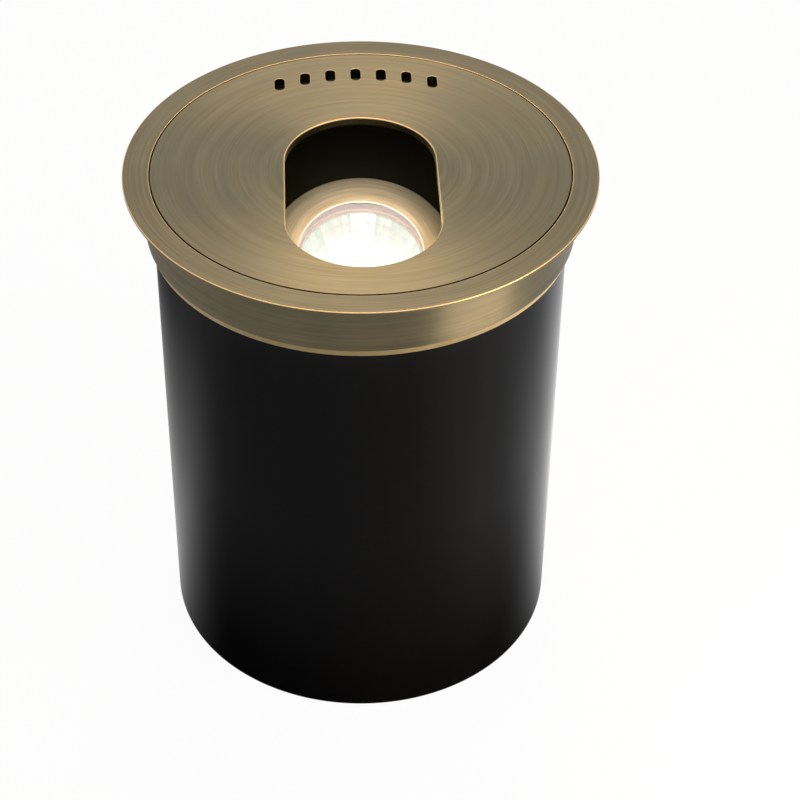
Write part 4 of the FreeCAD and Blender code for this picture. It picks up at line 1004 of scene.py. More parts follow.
class Recipe:
    """A Geometry Nodes tree with named sizes, and the mesh that it grows.

    A mesh given to grow() comes in at `base`. The tree works in millimetres and ends in Realize
    Instances and Set Material.
    """

    def __init__(self, name: str) -> None:
        """Start an empty tree.

        Args:
            name: what the tree makes.
        """
        self.name = name
        self.tree = bpy.data.node_groups.new(name, "GeometryNodeTree")
        faces = self.tree.interface
        faces.new_socket("Geometry", in_out="OUTPUT", socket_type="NodeSocketGeometry")
        faces.new_socket("Base", in_out="INPUT", socket_type="NodeSocketGeometry")
        self.group = add(self.tree, "NodeGroupInput")
        self.values: dict[str, Any] = {}

    @property
    def base(self) -> bpy.types.NodeSocket:
        """The mesh that the tree starts from."""
        return self.group.outputs["Base"]

    def size(self, name: str, value: float | int) -> bpy.types.NodeSocket:
        """Give the tree a named size.

        Args:
            name: the size's name.
            value: its value, a whole number for a count.

        Returns:
            The socket that gives it.
        """
        kind = "NodeSocketInt" if isinstance(value, int) else "NodeSocketFloat"
        item = self.tree.interface.new_socket(name, in_out="INPUT", socket_type=kind)
        self.values[item.identifier] = value
        return self.group.outputs[name]

    def long_hole(self, label: str, width: float, length: float, flats: int) -> bpy.types.Node:
        """Outline a slot with round ends that lies along Y about the origin.

        Args:
            label: what the slot is called in the names of its sizes.
            width: its width.
            length: its length over all.
            flats: straight pieces to a quarter of a circle.

        Returns:
            The outline.
        """
        wide = self.size(f"{label} width", width)
        sides = [wide, self.size(f"{label} length", length)]
        box = add(self.tree, "GeometryNodeCurvePrimitiveQuadrilateral", sides, mode="RECTANGLE")
        radius = add(self.tree, MATH, [wide, 0.4999], operation="MULTIPLY")
        ends = {"Curve": box, "Count": flats, "Radius": radius, "Limit Radius": True}
        return add(self.tree, "GeometryNodeFilletCurve", ends, mode="POLY")

    def ring_of(
        self,
        unit: Any,
        label: str,
        count: int,
        radius: float,
        first: float = 0.0,
        step: float = 180.0,
    ) -> bpy.types.Node:
        """Set copies of a unit round the axis.

        Args:
            unit: geometry that stands at the axis with its +X pointing outwards.
            label: what the copies are called in the names of their sizes.
            count: how many.
            radius: distance from the axis.
            first: angle of the first one from +X.
            step: angle from one to the next.

        Returns:
            The realized copies.
        """
        tree = self.tree
        number = add(tree, "GeometryNodeInputIndex")
        angles = [number, self.size(f"{label} step", step), self.size(f"{label} first", first)]
        degrees = add(tree, MATH, angles, operation="MULTIPLY_ADD")
        angle = add(tree, MATH, [degrees], operation="RADIANS")
        reach = self.size(f"{label} circle", radius)
        cosine, sine = (add(tree, MATH, [angle], operation=way) for way in ("COSINE", "SINE"))
        along = add(tree, MATH, [cosine, reach], operation="MULTIPLY")
        aside = add(tree, MATH, [sine, reach], operation="MULTIPLY")
        spot = add(tree, COMBINE, [along, aside])
        places = {"Count": self.size(f"{label} count", count), "Position": spot}
        points = add(tree, "GeometryNodePoints", places)
        facing = add(tree, COMBINE, {"Z": angle})
        copies = {"Points": points, "Instance": unit, "Rotation": facing}
        return add(tree, REALIZE, [add(tree, "GeometryNodeInstanceOnPoints", copies)])

    def slab(self, outlines: list[Any], level: float, thickness: float) -> bpy.types.Node:
        """Make a flat plate from closed outlines; those inside others are its holes.

        Args:
            outlines: the outlines.
            level: height of its underside.
            thickness: its thickness.

        Returns:
            The plate.
        """
        tree = self.tree
        flat = add(tree, "GeometryNodeFillCurve", [add(tree, JOIN, [outlines])], mode="NGONS")
        depth = self.size("Thickness", thickness)
        pull = {"Mesh": flat, "Offset Scale": depth, "Individual": False}
        raised = add(tree, "GeometryNodeExtrudeMesh", pull)
        under = add(tree, "GeometryNodeFlipFaces", [flat])
        seam = {"Geometry": add(tree, JOIN, [[raised, under]]), "Distance": 1e-4}
        whole = add(tree, "GeometryNodeMergeByDistance", seam)
        lift = add(tree, COMBINE, {"Z": self.size("Underside", level)})
        return add(tree, MOVE, {"Geometry": whole, "Translation": lift})

    def paint(self, geometry: Any, finish: Finish, where: Any = True) -> bpy.types.Node:
        """Realize a geometry and give the chosen faces a finish, or with False only list it."""
        solid = add(self.tree, REALIZE, [geometry])
        return add(self.tree, "GeometryNodeSetMaterial", [solid, where, finish.material()])

    def grow(self, last: bpy.types.Node, base: bpy.types.Mesh | None = None) -> bpy.types.Mesh:
        """Finish the tree and make its mesh.

        Args:
            last: the painted geometry that the tree ends with.
            base: the mesh that comes in at `base`.

        Returns:
            A plain mesh in millimetres.
        """
        add(self.tree, "NodeGroupOutput", [last])
        host = show(self.name, base or bpy.data.meshes.new(self.name))
        modifier = host.modifiers.new(self.name, "NODES")
        modifier.node_group = self.tree
        for identifier, value in self.values.items():
            modifier[identifier] = value
        mesh = settled(host)
        if mesh.materials and mesh.materials[0] is None:
            mesh.materials.pop(index=0)
        return mesh


# Sub-assemblies


class Assembly:
    """Pieces that ride on one body, and the CAD nodes that keep their shape there.

    Attributes:
        body: the body.
        axis: the axis that the pieces are made about.
        nodes: the CAD nodes and their finishes.
    """

    body: ClassVar[Body]
    axis: ClassVar[Axis] = WELL_AXIS
    nodes: ClassVar[dict[str, Finish]] = {}

    def build(self) -> None:
        """Make the sub-assembly's own pieces."""

    def dress(self, cad: dict[str, bpy.types.Object]) -> None:
        """Give each carried-over CAD node its finish.

        Args:
            cad: the frame's nodes by name.
        """
        for name, finish in self.nodes.items():
            node = cad[name]
            for slot in node.material_slots:
                slot.material = finish.material()
            LOG.info("%s: CAD node in %s", name, finish.name)

    def put(
        self,
        name: str,
        mesh: bpy.types.Mesh,
        slot: str,
        stands_for: Sequence[str] = (),
        body: Body | None = None,
        axis: Axis | None = None,
    ) -> bpy.types.Object:
        """Make a piece from a mesh, and move the mesh to its place in the scene.

        Args:
            name: the piece's name.
            mesh: its mesh, in millimetres about the axis.
            slot: the record's material slot; it is not used.
            stands_for: CAD nodes that it replaces.
            body: the body it rides on, if not the sub-assembly's own.
            axis: the axis it is made about, if not the sub-assembly's own.

        Returns:
            The piece.
        """
        mesh.transform((axis or self.axis).place)
        mesh.update()
        piece = show(name, mesh)
        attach(piece, (body or self.body).value)
        if stands_for:
            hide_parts(*stands_for)
        LOG.info("%s: %d faces, stands for %s", name, len(mesh.polygons), ", ".join(stands_for))
        return piece

    def even(self, piece: bpy.types.Object) -> None:
        """Keep a piece's flats flat where they meet small roundings."""
        modifier = piece.modifiers.new("even_normals", "WEIGHTED_NORMAL")
        modifier.keep_sharp = True

    def soften(
        self, piece: bpy.types.Object, width: float, weights: str = "", material: int = -1
    ) -> None:
        """Round a piece's sharp edges.

        Args:
            piece: the piece.
            width: width of the rounding.
            weights: attribute that says which edges and how much, or all sharp ones without it.
            material: number of the rounding's material, or -1 for that of the faces beside it.
        """
        modifier = piece.modifiers.new(weights or "edge_break", "BEVEL")
        modifier.width = width * MM
        modifier.segments = 2
        modifier.use_clamp_overlap = False
        modifier.harden_normals = True
        modifier.material = material
        modifier.limit_method = "WEIGHT" if weights else "ANGLE"
        modifier.edge_weight = weights or "bevel_weight_edge"
        modifier.angle_limit = math.radians(50)


@dataclass(frozen=True)
class Screw:
    """A small screw with a hexagonal socket and a rolled thread.

    Attributes:
        shank: radius of the shank.
        head: radius of the head.
        length: length over all if countersunk, or below the head.
        pitch: thread pitch.
        pan: height of a pan head, or 0 for a countersunk one.
        point: how far the shank's end is chamfered.
        depth: depth of the thread.
        lip: height of a countersunk head's upright edge.
        crown: how far in and how far down a pan head's edge is rounded off.
        socket: depth of the socket at its walls and in its middle.
        mouth: how far out and how deep its mouth is chamfered.
    """

    shank: float = 1.5
    head: float = 2.9
    length: float = 14.0
    pitch: float = 0.7
    pan: float = 0.0
    point: float = 0.4
    depth: float = 0.22
    lip: float = 0.12
    crown: tuple[float, float] = (0.7, 0.5)
    socket: tuple[float, float] = (0.9, 1.3)
    mouth: tuple[float, float] = (0.2, 0.15)

    def mesh(self, top: float) -> bpy.types.Mesh:
        """Turn the screw.

        Args:
            top: height of its head's highest point.

        Returns:
            The screw in millimetres.
        """
        seat = top - (self.pan or self.head - self.shank)
        end = (seat if self.pan else top) - self.length
        hexagon = 0.5 * self.head
        outline = [Corner(0.0, end), Corner(self.shank - self.point, end)]
        height = end + self.point
        while height < seat - 0.6 * self.pitch:
            outline.append(Corner(self.shank, height))
            outline.append(Corner(self.shank - self.depth, height + self.pitch / 2))
            height += self.pitch
        outline.append(Corner(self.shank, seat))
        if self.pan:
            inward, down = self.crown
            outline += [
                Corner(self.head, seat, 0.15),
                Corner(self.head, top - down, 0.4),
                Corner(self.head - inward, top, 0.4),
            ]
        else:
            outline += [Corner(self.head, top - self.lip), Corner(self.head, top)]
        outward, chamfer = self.mouth
        wall, middle = self.socket
        outline += [
            Corner(hexagon + outward, top),
            Corner(hexagon, top - chamfer, sides=6),
            Corner(hexagon, top - wall, sides=6),
            Corner(0.0, top - middle),
        ]
        return turned("screw", outline, 24, 3)


@dataclass
class Well(Assembly):
    """What stays in the ground: sleeve, trim ring with its lugs and screws, and drain plate.

    Attributes:
        sleeve_radius: outer radius of the sleeve.
        sleeve_bore: its inner radius.
        sleeve_top: its upper end, which the ring's web lies on.
        spigot: its radius inside the trim ring.
        shoulder: height where the spigot starts.
        flange: radius of the trim ring's flange.
        skirt: outer radius of its collar.
        skirt_bore: inner radius of its collar.
        skirt_end: its lower end.
        taper: how far in and how far up the collar's end is tapered.
        edge_slope: how far in the flange's underside starts to rise, and its edge's thickness.
        seat: underside of the flange.
        top: top of the flange.
        lid_pocket: radius that the lid drops into.
        lid_ledge: height that its gasket lies on.
        carrier_pocket: radius that the carrier ring turns in.
        carrier_ledge: height that its glide ring lies on.
        web_edge: inner radius of the ring's web.
        screw_circle: radius that the ring screws stand on.
        screw_angles: where they stand, from +X.
        screw_top: height of their heads.
        ring_screw: one of them.
        clearance: radius of their holes, and of the countersinks' wide end.
        sink: depth of the countersinks, and how far over the web their cones run.
        overcut: how far the drill's shape runs past the web below and above.
        plate_radius: radius of the drain plate.
        plate_level: its underside.
        plate_thickness: its thickness.
        grommet_hole: radius of the hole in its middle.
        weep_radius: radius of its weep holes.
        weeps: their rings: name, how many, and the ring's radius.
    """

    sleeve_radius: float = 78.5
    sleeve_bore: float = 74.0
    sleeve_top: float = 200.0
    spigot: float = 78.2
    shoulder: float = 184.7
    flange: float = 89.0
    skirt: float = 81.5
    skirt_bore: float = 78.5
    skirt_end: float = 185.0
    taper: tuple[float, float] = (1.1, 3.0)
    edge_slope: tuple[float, float] = (2.0, 0.9)
    seat: float = 208.5
    top: float = 211.0
    lid_pocket: float = 79.1
    lid_ledge: float = 207.5
    carrier_pocket: float = 75.5
    carrier_ledge: float = 204.5
    web_edge: float = 66.0
    screw_circle: float = 70.0
    screw_angles: tuple[float, ...] = (30.0, 150.0, 270.0)
    screw_top: float = 204.35
    ring_screw: Screw = Screw(length=14.0)
    clearance: tuple[float, float] = (1.7, 3.3)
    sink: tuple[float, float] = (1.5, 0.1)
    overcut: tuple[float, float] = (1.0, 0.7)
    plate_radius: float = 73.9
    plate_level: float = 8.0
    plate_thickness: float = 5.0
    grommet_hole: float = 7.0
    weep_radius: float = 2.0
    weeps: tuple[tuple[str, int, float], ...] = (("Inner", 10, 30.0), ("Outer", 18, 56.0))
    nodes = {
        "seat_gasket": RUBBER,
        "glide_ring": ACETAL,
        "ring_lug_1": MOULDED_BLACK,
        "ring_lug_2": MOULDED_BLACK,
        "ring_lug_3": MOULDED_BLACK,
        "cable_grommet": RUBBER,
    }
    body = Body.WELL

    def build(self) -> None:
        """Make the sleeve, trim ring, ring screws and drain plate."""
        self.make_sleeve()
        self.make_trim_ring()
        self.make_ring_screws()
        self.make_drain_plate()

    def make_sleeve(self) -> None:
        """Plastic tube, slimmer where it enters the trim ring."""
        profile = [
            Corner(self.sleeve_bore, 0.0, 0.3),
            Corner(self.sleeve_radius, 0.0, 0.5),
            Corner(self.sleeve_radius, self.shoulder, 0.08),
            Corner(self.spigot, self.shoulder),
            Corner(self.spigot, self.sleeve_top, 0.3),
            Corner(self.sleeve_bore, self.sleeve_top, 0.3),
        ]
        mesh = turned("sleeve_tube", profile, 256, finishes=[TUBE_BLACK])
        self.even(self.put("sleeve_tube", mesh, "sleeve_plastic", ["sleeve"]))

    def make_trim_ring(self) -> None:
        """Flange, skirt and stepped seat in one turning, with three countersunk holes."""
        inward, upward = self.taper
        slope, thin = self.edge_slope
        profile = [
            Corner(self.web_edge, self.sleeve_top, 0.2),
            Corner(self.skirt_bore, self.sleeve_top),
            Corner(self.skirt_bore, self.skirt_end, 0.2),
            # Painted highlight: the taper under the collar (finish 3) takes TAPER_BRASS.
            Corner(self.skirt - inward, self.skirt_end, finish=3),
            # Painted light: the collar's wall (finish 2) takes the lighter COLLAR_BRASS.
            Corner(self.skirt, self.skirt_end + upward, 0.4, finish=2),
            Corner(self.skirt, self.seat, 0.3),
            Corner(self.flange - slope, self.seat, 0.2),
            # Painted highlight with wear: these rounded edges take EDGE_BRASS.
            Corner(self.flange, self.top - thin, 0.2, bright_edge=True),
            Corner(self.flange, self.top, 0.3, bright_edge=True),
            Corner(self.lid_pocket, self.top, 0.25, bright_edge=True),
            Corner(self.lid_pocket, self.lid_ledge),
            Corner(self.carrier_pocket, self.lid_ledge, 0.2),
            Corner(self.carrier_pocket, self.carrier_ledge),
            Corner(self.web_edge, self.carrier_ledge, 0.2),
        ]
        finishes = [RING_BRASS, EDGE_BRASS, COLLAR_BRASS, TAPER_BRASS]
        mesh = turned("trim_ring_turned", profile, 256, finishes=finishes)
        mesh = cut_holes(mesh, self.countersinks())
        self.even(self.put("trim_ring_turned", mesh, "brass", ["trim_ring"]))

    def countersinks(self) -> list[bpy.types.Mesh]:
        """Shape what the drill takes out of the web.

        Returns:
            One mesh for each ring screw.
        """
        hole, mouth = self.clearance
        depth, rise = self.sink
        below, above = self.overcut
        cone = [
            Corner(0.0, self.sleeve_top - below),
            Corner(hole, self.sleeve_top - below),
            Corner(hole, self.carrier_ledge - depth),
            Corner(mouth, self.carrier_ledge + rise),
            Corner(mouth, self.carrier_ledge + above),
            Corner(0.0, self.carrier_ledge + above),
        ]
        cutters = []
        for angle in self.screw_angles:
            cutter = turned("ring_screw_hole", cone, 32)
            spot = Matrix.Rotation(math.radians(angle), 4, "Z")
            cutter.transform(spot @ Matrix.Translation((self.screw_circle, 0.0, 0.0)))
            cutters.append(cutter)
        return cutters

    def make_ring_screws(self) -> None:
        """Three countersunk screws that hold the trim ring to the lugs."""
        recipe = Recipe("ring_screw_circle")
        first, second = self.screw_angles[:2]
        count = len(self.screw_angles)
        around = (count, self.screw_circle, first, second - first)
        unit = recipe.ring_of(recipe.base, "Screw", *around)
        mesh = recipe.grow(recipe.paint(unit, STEEL), self.ring_screw.mesh(self.screw_top))
        self.put("ring_screw_set", mesh, "steel", ["ring_screws"])

    def make_drain_plate(self) -> None:
        """Disc with two rings of weep holes round the grommet's hole."""
        recipe = Recipe("drain_plate_drilled")
        weep, edge, grommet = (
            add(
                recipe.tree,
                "GeometryNodeCurvePrimitiveCircle",
                [flats, recipe.size(name, radius)],
                mode="RADIUS",
            )
            for name, radius, flats in (
                ("Weep radius", self.weep_radius, 20),
                ("Edge radius", self.plate_radius, 160),
                ("Grommet hole", self.grommet_hole, 48),
            )
        )
        rings = [
            recipe.ring_of(weep, label, count, radius, 90.0, 360.0 / count)
            for label, count, radius in self.weeps
        ]
        slab = recipe.slab([edge, grommet, *rings], self.plate_level, self.plate_thickness)
        mesh = recipe.grow(recipe.paint(slab, MOULDED_BLACK))
        piece = self.put("drain_plate_drilled", mesh, "sleeve_plastic", ["drain_plate"])
        self.soften(piece, 0.3)


@dataclass
class Carrier(Assembly):
    """The ring that turns to aim the lamp, its two hangers, and their screws and nuts.

    Attributes:
        screw_places: distances of the hangers' screws from their middle.
        setback: how far that middle lies behind the well's axis.
        screw_top: height of the screws' heads.
        screw_end: height of their lower ends.
        nut_under: underside of the nuts.
        nut_top: their top.
        nut_bore: radius of their hole.
        nut_corner: radius over their corners.
        nut_chamfer: how far in and how far along their corners are cut.
    """

    screw_places: tuple[float, float] = (47.3, 59.2)
    setback: float = 2.17
    screw_top: float = 207.15
    screw_end: float = 201.1
    nut_under: float = 201.6
    nut_top: float = 204.0
    nut_bore: float = 1.45
    nut_corner: float = 3.1
    nut_chamfer: tuple[float, float] = (0.5, 0.25)
    nodes = {
        "carrier_ring": COATED_STEEL,
        "hanger_left": COATED_STEEL,
        "hanger_right": COATED_STEEL,
    }
    body = Body.CARRIER

    def build(self) -> None:
        """Make the hanger screws and nuts."""
        screw = Screw(length=self.screw_top - self.screw_end)
        self.spread("hanger_screw", screw.mesh(self.screw_top), "hanger_screws")
        inward, along = self.nut_chamfer
        nut = [
            Corner(self.nut_bore, self.nut_under),
            Corner(self.nut_corner - inward, self.nut_under),
            Corner(self.nut_corner, self.nut_under + along, sides=6),
            Corner(self.nut_corner, self.nut_top - along, sides=6),
            Corner(self.nut_corner - inward, self.nut_top),
            Corner(self.nut_bore, self.nut_top),
        ]
        self.spread("hanger_nut", turned("nut", nut, 24), "hanger_nuts")

    def spread(self, name: str, unit: bpy.types.Mesh, node: str) -> None:
        """Put a unit at each of the four places on the hangers' feet.

        Args:
            name: what the unit is.
            unit: its mesh, in millimetres.
            node: the CAD node that the set stands for.
        """
        recipe = Recipe(f"{name}_row")
        near, far = self.screw_places
        pairs = [
            recipe.ring_of(recipe.base, "Near", 2, near),
            recipe.ring_of(recipe.base, "Far", 2, far),
        ]
        joined = add(recipe.tree, JOIN, [pairs])
        mesh = recipe.grow(recipe.paint(joined, STEEL), unit)
        self.put(f"{name}_set", mesh, "steel", [node], axis=Axis((0.0, self.setback, 0.0)))


@dataclass
class Lid(Assembly):
    """The plate with the long opening and the row of vent slots.

    Attributes:
        edge: radius of the plate.
        under: its underside.
        thickness: its thickness.
        bevel: width of the bright edge round the opening, rubbed and with a painted highlight.
        vent_bevel: the vent slots' share of that width.
        outer_bevel: width of the break at the plate's own edge.
        opening_width: width of the long opening.
        opening_back: place of its back end along Y.
        opening_front: place of its front end.
        vent_count: how many vent slots.
        vent_pitch: distance from one to the next along X.
        vent_curve: radius of the arc that their middles lie on.
        vent_middle: place of the middle one along Y.
        vent_length: their length.
        vent_width: their width.
    """

    edge: float = 78.6
    under: float = 208.0
    thickness: float = 3.0
    bevel: float = 0.4
    vent_bevel: float = 0.4
    outer_bevel: float = 0.1
    opening_width: float = 56.7
    opening_back: float = 32.5
    opening_front: float = -62.4
    vent_count: int = 7
    vent_pitch: float = 10.0
    vent_curve: float = 74.0
    vent_middle: float = 63.9
    vent_length: float = 8.5
    vent_width: float = 4.0
    nodes = {"lid_dowels": STEEL}
    body = Body.LID

    def build(self) -> None:
        """Make the plate: brushed faces, walls in painted shade, and upper edges rounded bright
        with wear and a painted highlight.
        """
        recipe = Recipe("lid_plate")
        tree = recipe.tree
        around = [288, recipe.size("Edge radius", self.edge)]
        rim = add(tree, "GeometryNodeCurvePrimitiveCircle", around, mode="RADIUS")
        outlines = [rim, self.opening(recipe), self.vent_row(recipe)]
        slab = self.weighed(recipe, recipe.slab(outlines, self.under, self.thickness))
        normal = add(tree, "GeometryNodeInputNormal")
        upward = add(tree, SEPARATE, [normal]).outputs["Z"]
        steep = add(tree, MATH, [upward], operation="ABSOLUTE")
        # Painted shade: steep walls take the darkened wall brass.
        wall = add(tree, MATH, [steep, 0.5], operation="LESS_THAN")
        faced = recipe.paint(recipe.paint(slab, LID_BRASS), EDGE_BRASS, False)
        mesh = recipe.grow(recipe.paint(faced, WALL_SHADE_BRASS, wall))
        piece = self.put("lid_plate", mesh, "brass", ["lid"])
        names = [material.name for material in mesh.materials]
        # Painted highlight with wear: the upper edges of the opening and the slots take EDGE_BRASS.
        self.soften(piece, self.bevel, "inner_edge", names.index(EDGE_BRASS.name))
        # Painted shadow: the outer edge's break takes the darkened wall brass, in the seam against
        # the ring.
        self.soften(piece, self.outer_bevel, "outer_edge", names.index(WALL_SHADE_BRASS.name))

    def opening(self, recipe: Recipe) -> bpy.types.Node:
        """Outline the long opening.

        Args:
            recipe: the lid's tree.

        Returns:
            The outline.
        """
        length = self.opening_back - self.opening_front
        hole = recipe.long_hole("Opening", self.opening_width, length, 28)
        middle = recipe.size("Opening middle", (self.opening_back + self.opening_front) / 2)
        shift = add(recipe.tree, COMBINE, {"Y": middle})
        return add(recipe.tree, MOVE, {"Geometry": hole, "Translation": shift})

    def vent_row(self, recipe: Recipe) -> bpy.types.Node:
        """Outline the slots side by side along Y, with their middles on an arc.

        Args:
            recipe: the lid's tree.

        Returns:
            The outlines.
        """
        tree = recipe.tree
        slot = recipe.long_hole("Vent", self.vent_width, self.vent_length, 10)
        count = recipe.size("Vent count", self.vent_count)
        half = add(tree, MATH, [count, 0.5, -0.5], operation="MULTIPLY_ADD")
        place = add(tree, MATH, [add(tree, "GeometryNodeInputIndex"), half], operation="SUBTRACT")
        pitch = recipe.size("Vent pitch", self.vent_pitch)
        across = add(tree, MATH, [place, pitch], operation="MULTIPLY")
        curve = recipe.size("Vent curve", self.vent_curve)
        squares = (add(tree, MATH, [side, side], operation="MULTIPLY") for side in (curve, across))
        rest = add(tree, MATH, list(squares), operation="SUBTRACT")
        back = add(tree, MATH, [rest], operation="SQRT")
        fall = add(tree, MATH, [curve, back], operation="SUBTRACT")
        middle = recipe.size("Vent middle", self.vent_middle)
        along = add(tree, MATH, [middle, fall], operation="SUBTRACT")
        places = {"Count": count, "Position": add(tree, COMBINE, [across, along])}
        copies = {"Points": add(tree, "GeometryNodePoints", places), "Instance": slot}
        return add(tree, REALIZE, [add(tree, "GeometryNodeInstanceOnPoints", copies)])

    def weighed(self, recipe: Recipe, slab: bpy.types.Node) -> bpy.types.Node:
        """Say which of the plate's upper edges are rounded, and how much.

        Args:
            recipe: the lid's tree.
            slab: the plate.

        Returns:
            The plate with a bevel weight for its inner edges and one for its outer edge.
        """
        tree = recipe.tree
        parts = add(tree, SEPARATE, [add(tree, "GeometryNodeInputPosition")]).outputs
        square = add(tree, MATH, [parts["Y"], parts["Y"]], operation="MULTIPLY")
        reach = add(tree, MATH, [parts["X"], parts["X"], square], operation="MULTIPLY_ADD")
        outer = add(tree, MATH, [reach, (self.edge - 1.0) ** 2], operation="GREATER_THAN")
        middle = self.under + self.thickness / 2
        high = add(tree, MATH, [parts["Z"], middle], operation="GREATER_THAN")
        within = add(tree, MATH, [1.0, outer], operation="SUBTRACT")
        behind = [parts["Y"], self.opening_back + 1.0]
        vented = add(tree, MATH, behind, operation="GREATER_THAN")
        less = add(tree, MATH, [vented, 1.0 - self.vent_bevel], operation="MULTIPLY")
        fine = add(tree, MATH, [1.0, less], operation="SUBTRACT")
        inner = add(tree, MATH, [high, within], operation="MULTIPLY")
        shares = {
            "inner_edge": add(tree, MATH, [inner, fine], operation="MULTIPLY"),
            "outer_edge": add(tree, MATH, [high, outer], operation="MULTIPLY"),
        }
        bend = add(tree, "GeometryNodeInputMeshEdgeAngle")
        sharp = add(tree, MATH, [bend, 0.8], operation="GREATER_THAN")
        for name, share in shares.items():
            weight = add(tree, MATH, [sharp, share], operation="MULTIPLY")
            note = {"Geometry": slab, "Name": name, "Value": weight}
            store = {"data_type": "FLOAT", "domain": "EDGE"}
            slab = add(tree, "GeometryNodeStoreNamedAttribute", note, **store)
        return slab


@dataclass(frozen=True)
class Ribs:
    """Straight ribs round a knob or cap, with sloping flanks and ends.

    Attributes:
        count: how many.
        root: radius where they start.
        crest: radius of their tops.
        length: length along the axis.
        middle: place of their middle along the axis.
        width: width at the root.
    """

    count: int
    root: float
    crest: float
    length: float
    middle: float
    width: float

    def round_off(self, name: str, core: bpy.types.Mesh, finish: Finish) -> bpy.types.Mesh:
        """Grow the ribs on a turned core.

        Args:
            name: the name of what they make.
            core: the core, in millimetres.
            finish: the finish of the whole.

        Returns:
            The whole mesh in millimetres.
        """
        recipe = Recipe(name)
        tree = recipe.tree
        height = self.crest - self.root
        sizes = {"Rib height": height, "Rib width": self.width, "Rib length": self.length}
        size = add(tree, COMBINE, [recipe.size(*named) for named in sizes.items()])
        bar = add(tree, "GeometryNodeMeshCube", [size])
        parts = add(tree, SEPARATE, [add(tree, "GeometryNodeInputPosition")]).outputs
        crest = add(tree, MATH, [parts["X"], 0.0], operation="GREATER_THAN")
        side = add(tree, MATH, [parts["Y"]], operation="SIGN")
        end = add(tree, MATH, [parts["Z"]], operation="SIGN")
        slope = add(tree, MATH, [side, -0.2 * self.width], operation="MULTIPLY")
        fall = add(tree, MATH, [end, -height], operation="MULTIPLY")
        drawn = add(tree, COMBINE, {"Y": slope, "Z": fall})
        shape = {"Geometry": bar, "Selection": crest, "Offset": drawn}
        sloped = add(tree, "GeometryNodeSetPosition", shape)
        circle = (self.root + self.crest) / 2
        ribs = recipe.ring_of(sloped, "Rib", self.count, circle, 0.0, 360.0 / self.count)
        lift = add(tree, COMBINE, {"Z": recipe.size("Rib middle", self.middle)})
        raised = add(tree, MOVE, {"Geometry": ribs, "Translation": lift})
        both = add(tree, JOIN, [[recipe.base, raised]])
        return recipe.grow(recipe.paint(both, finish), core)


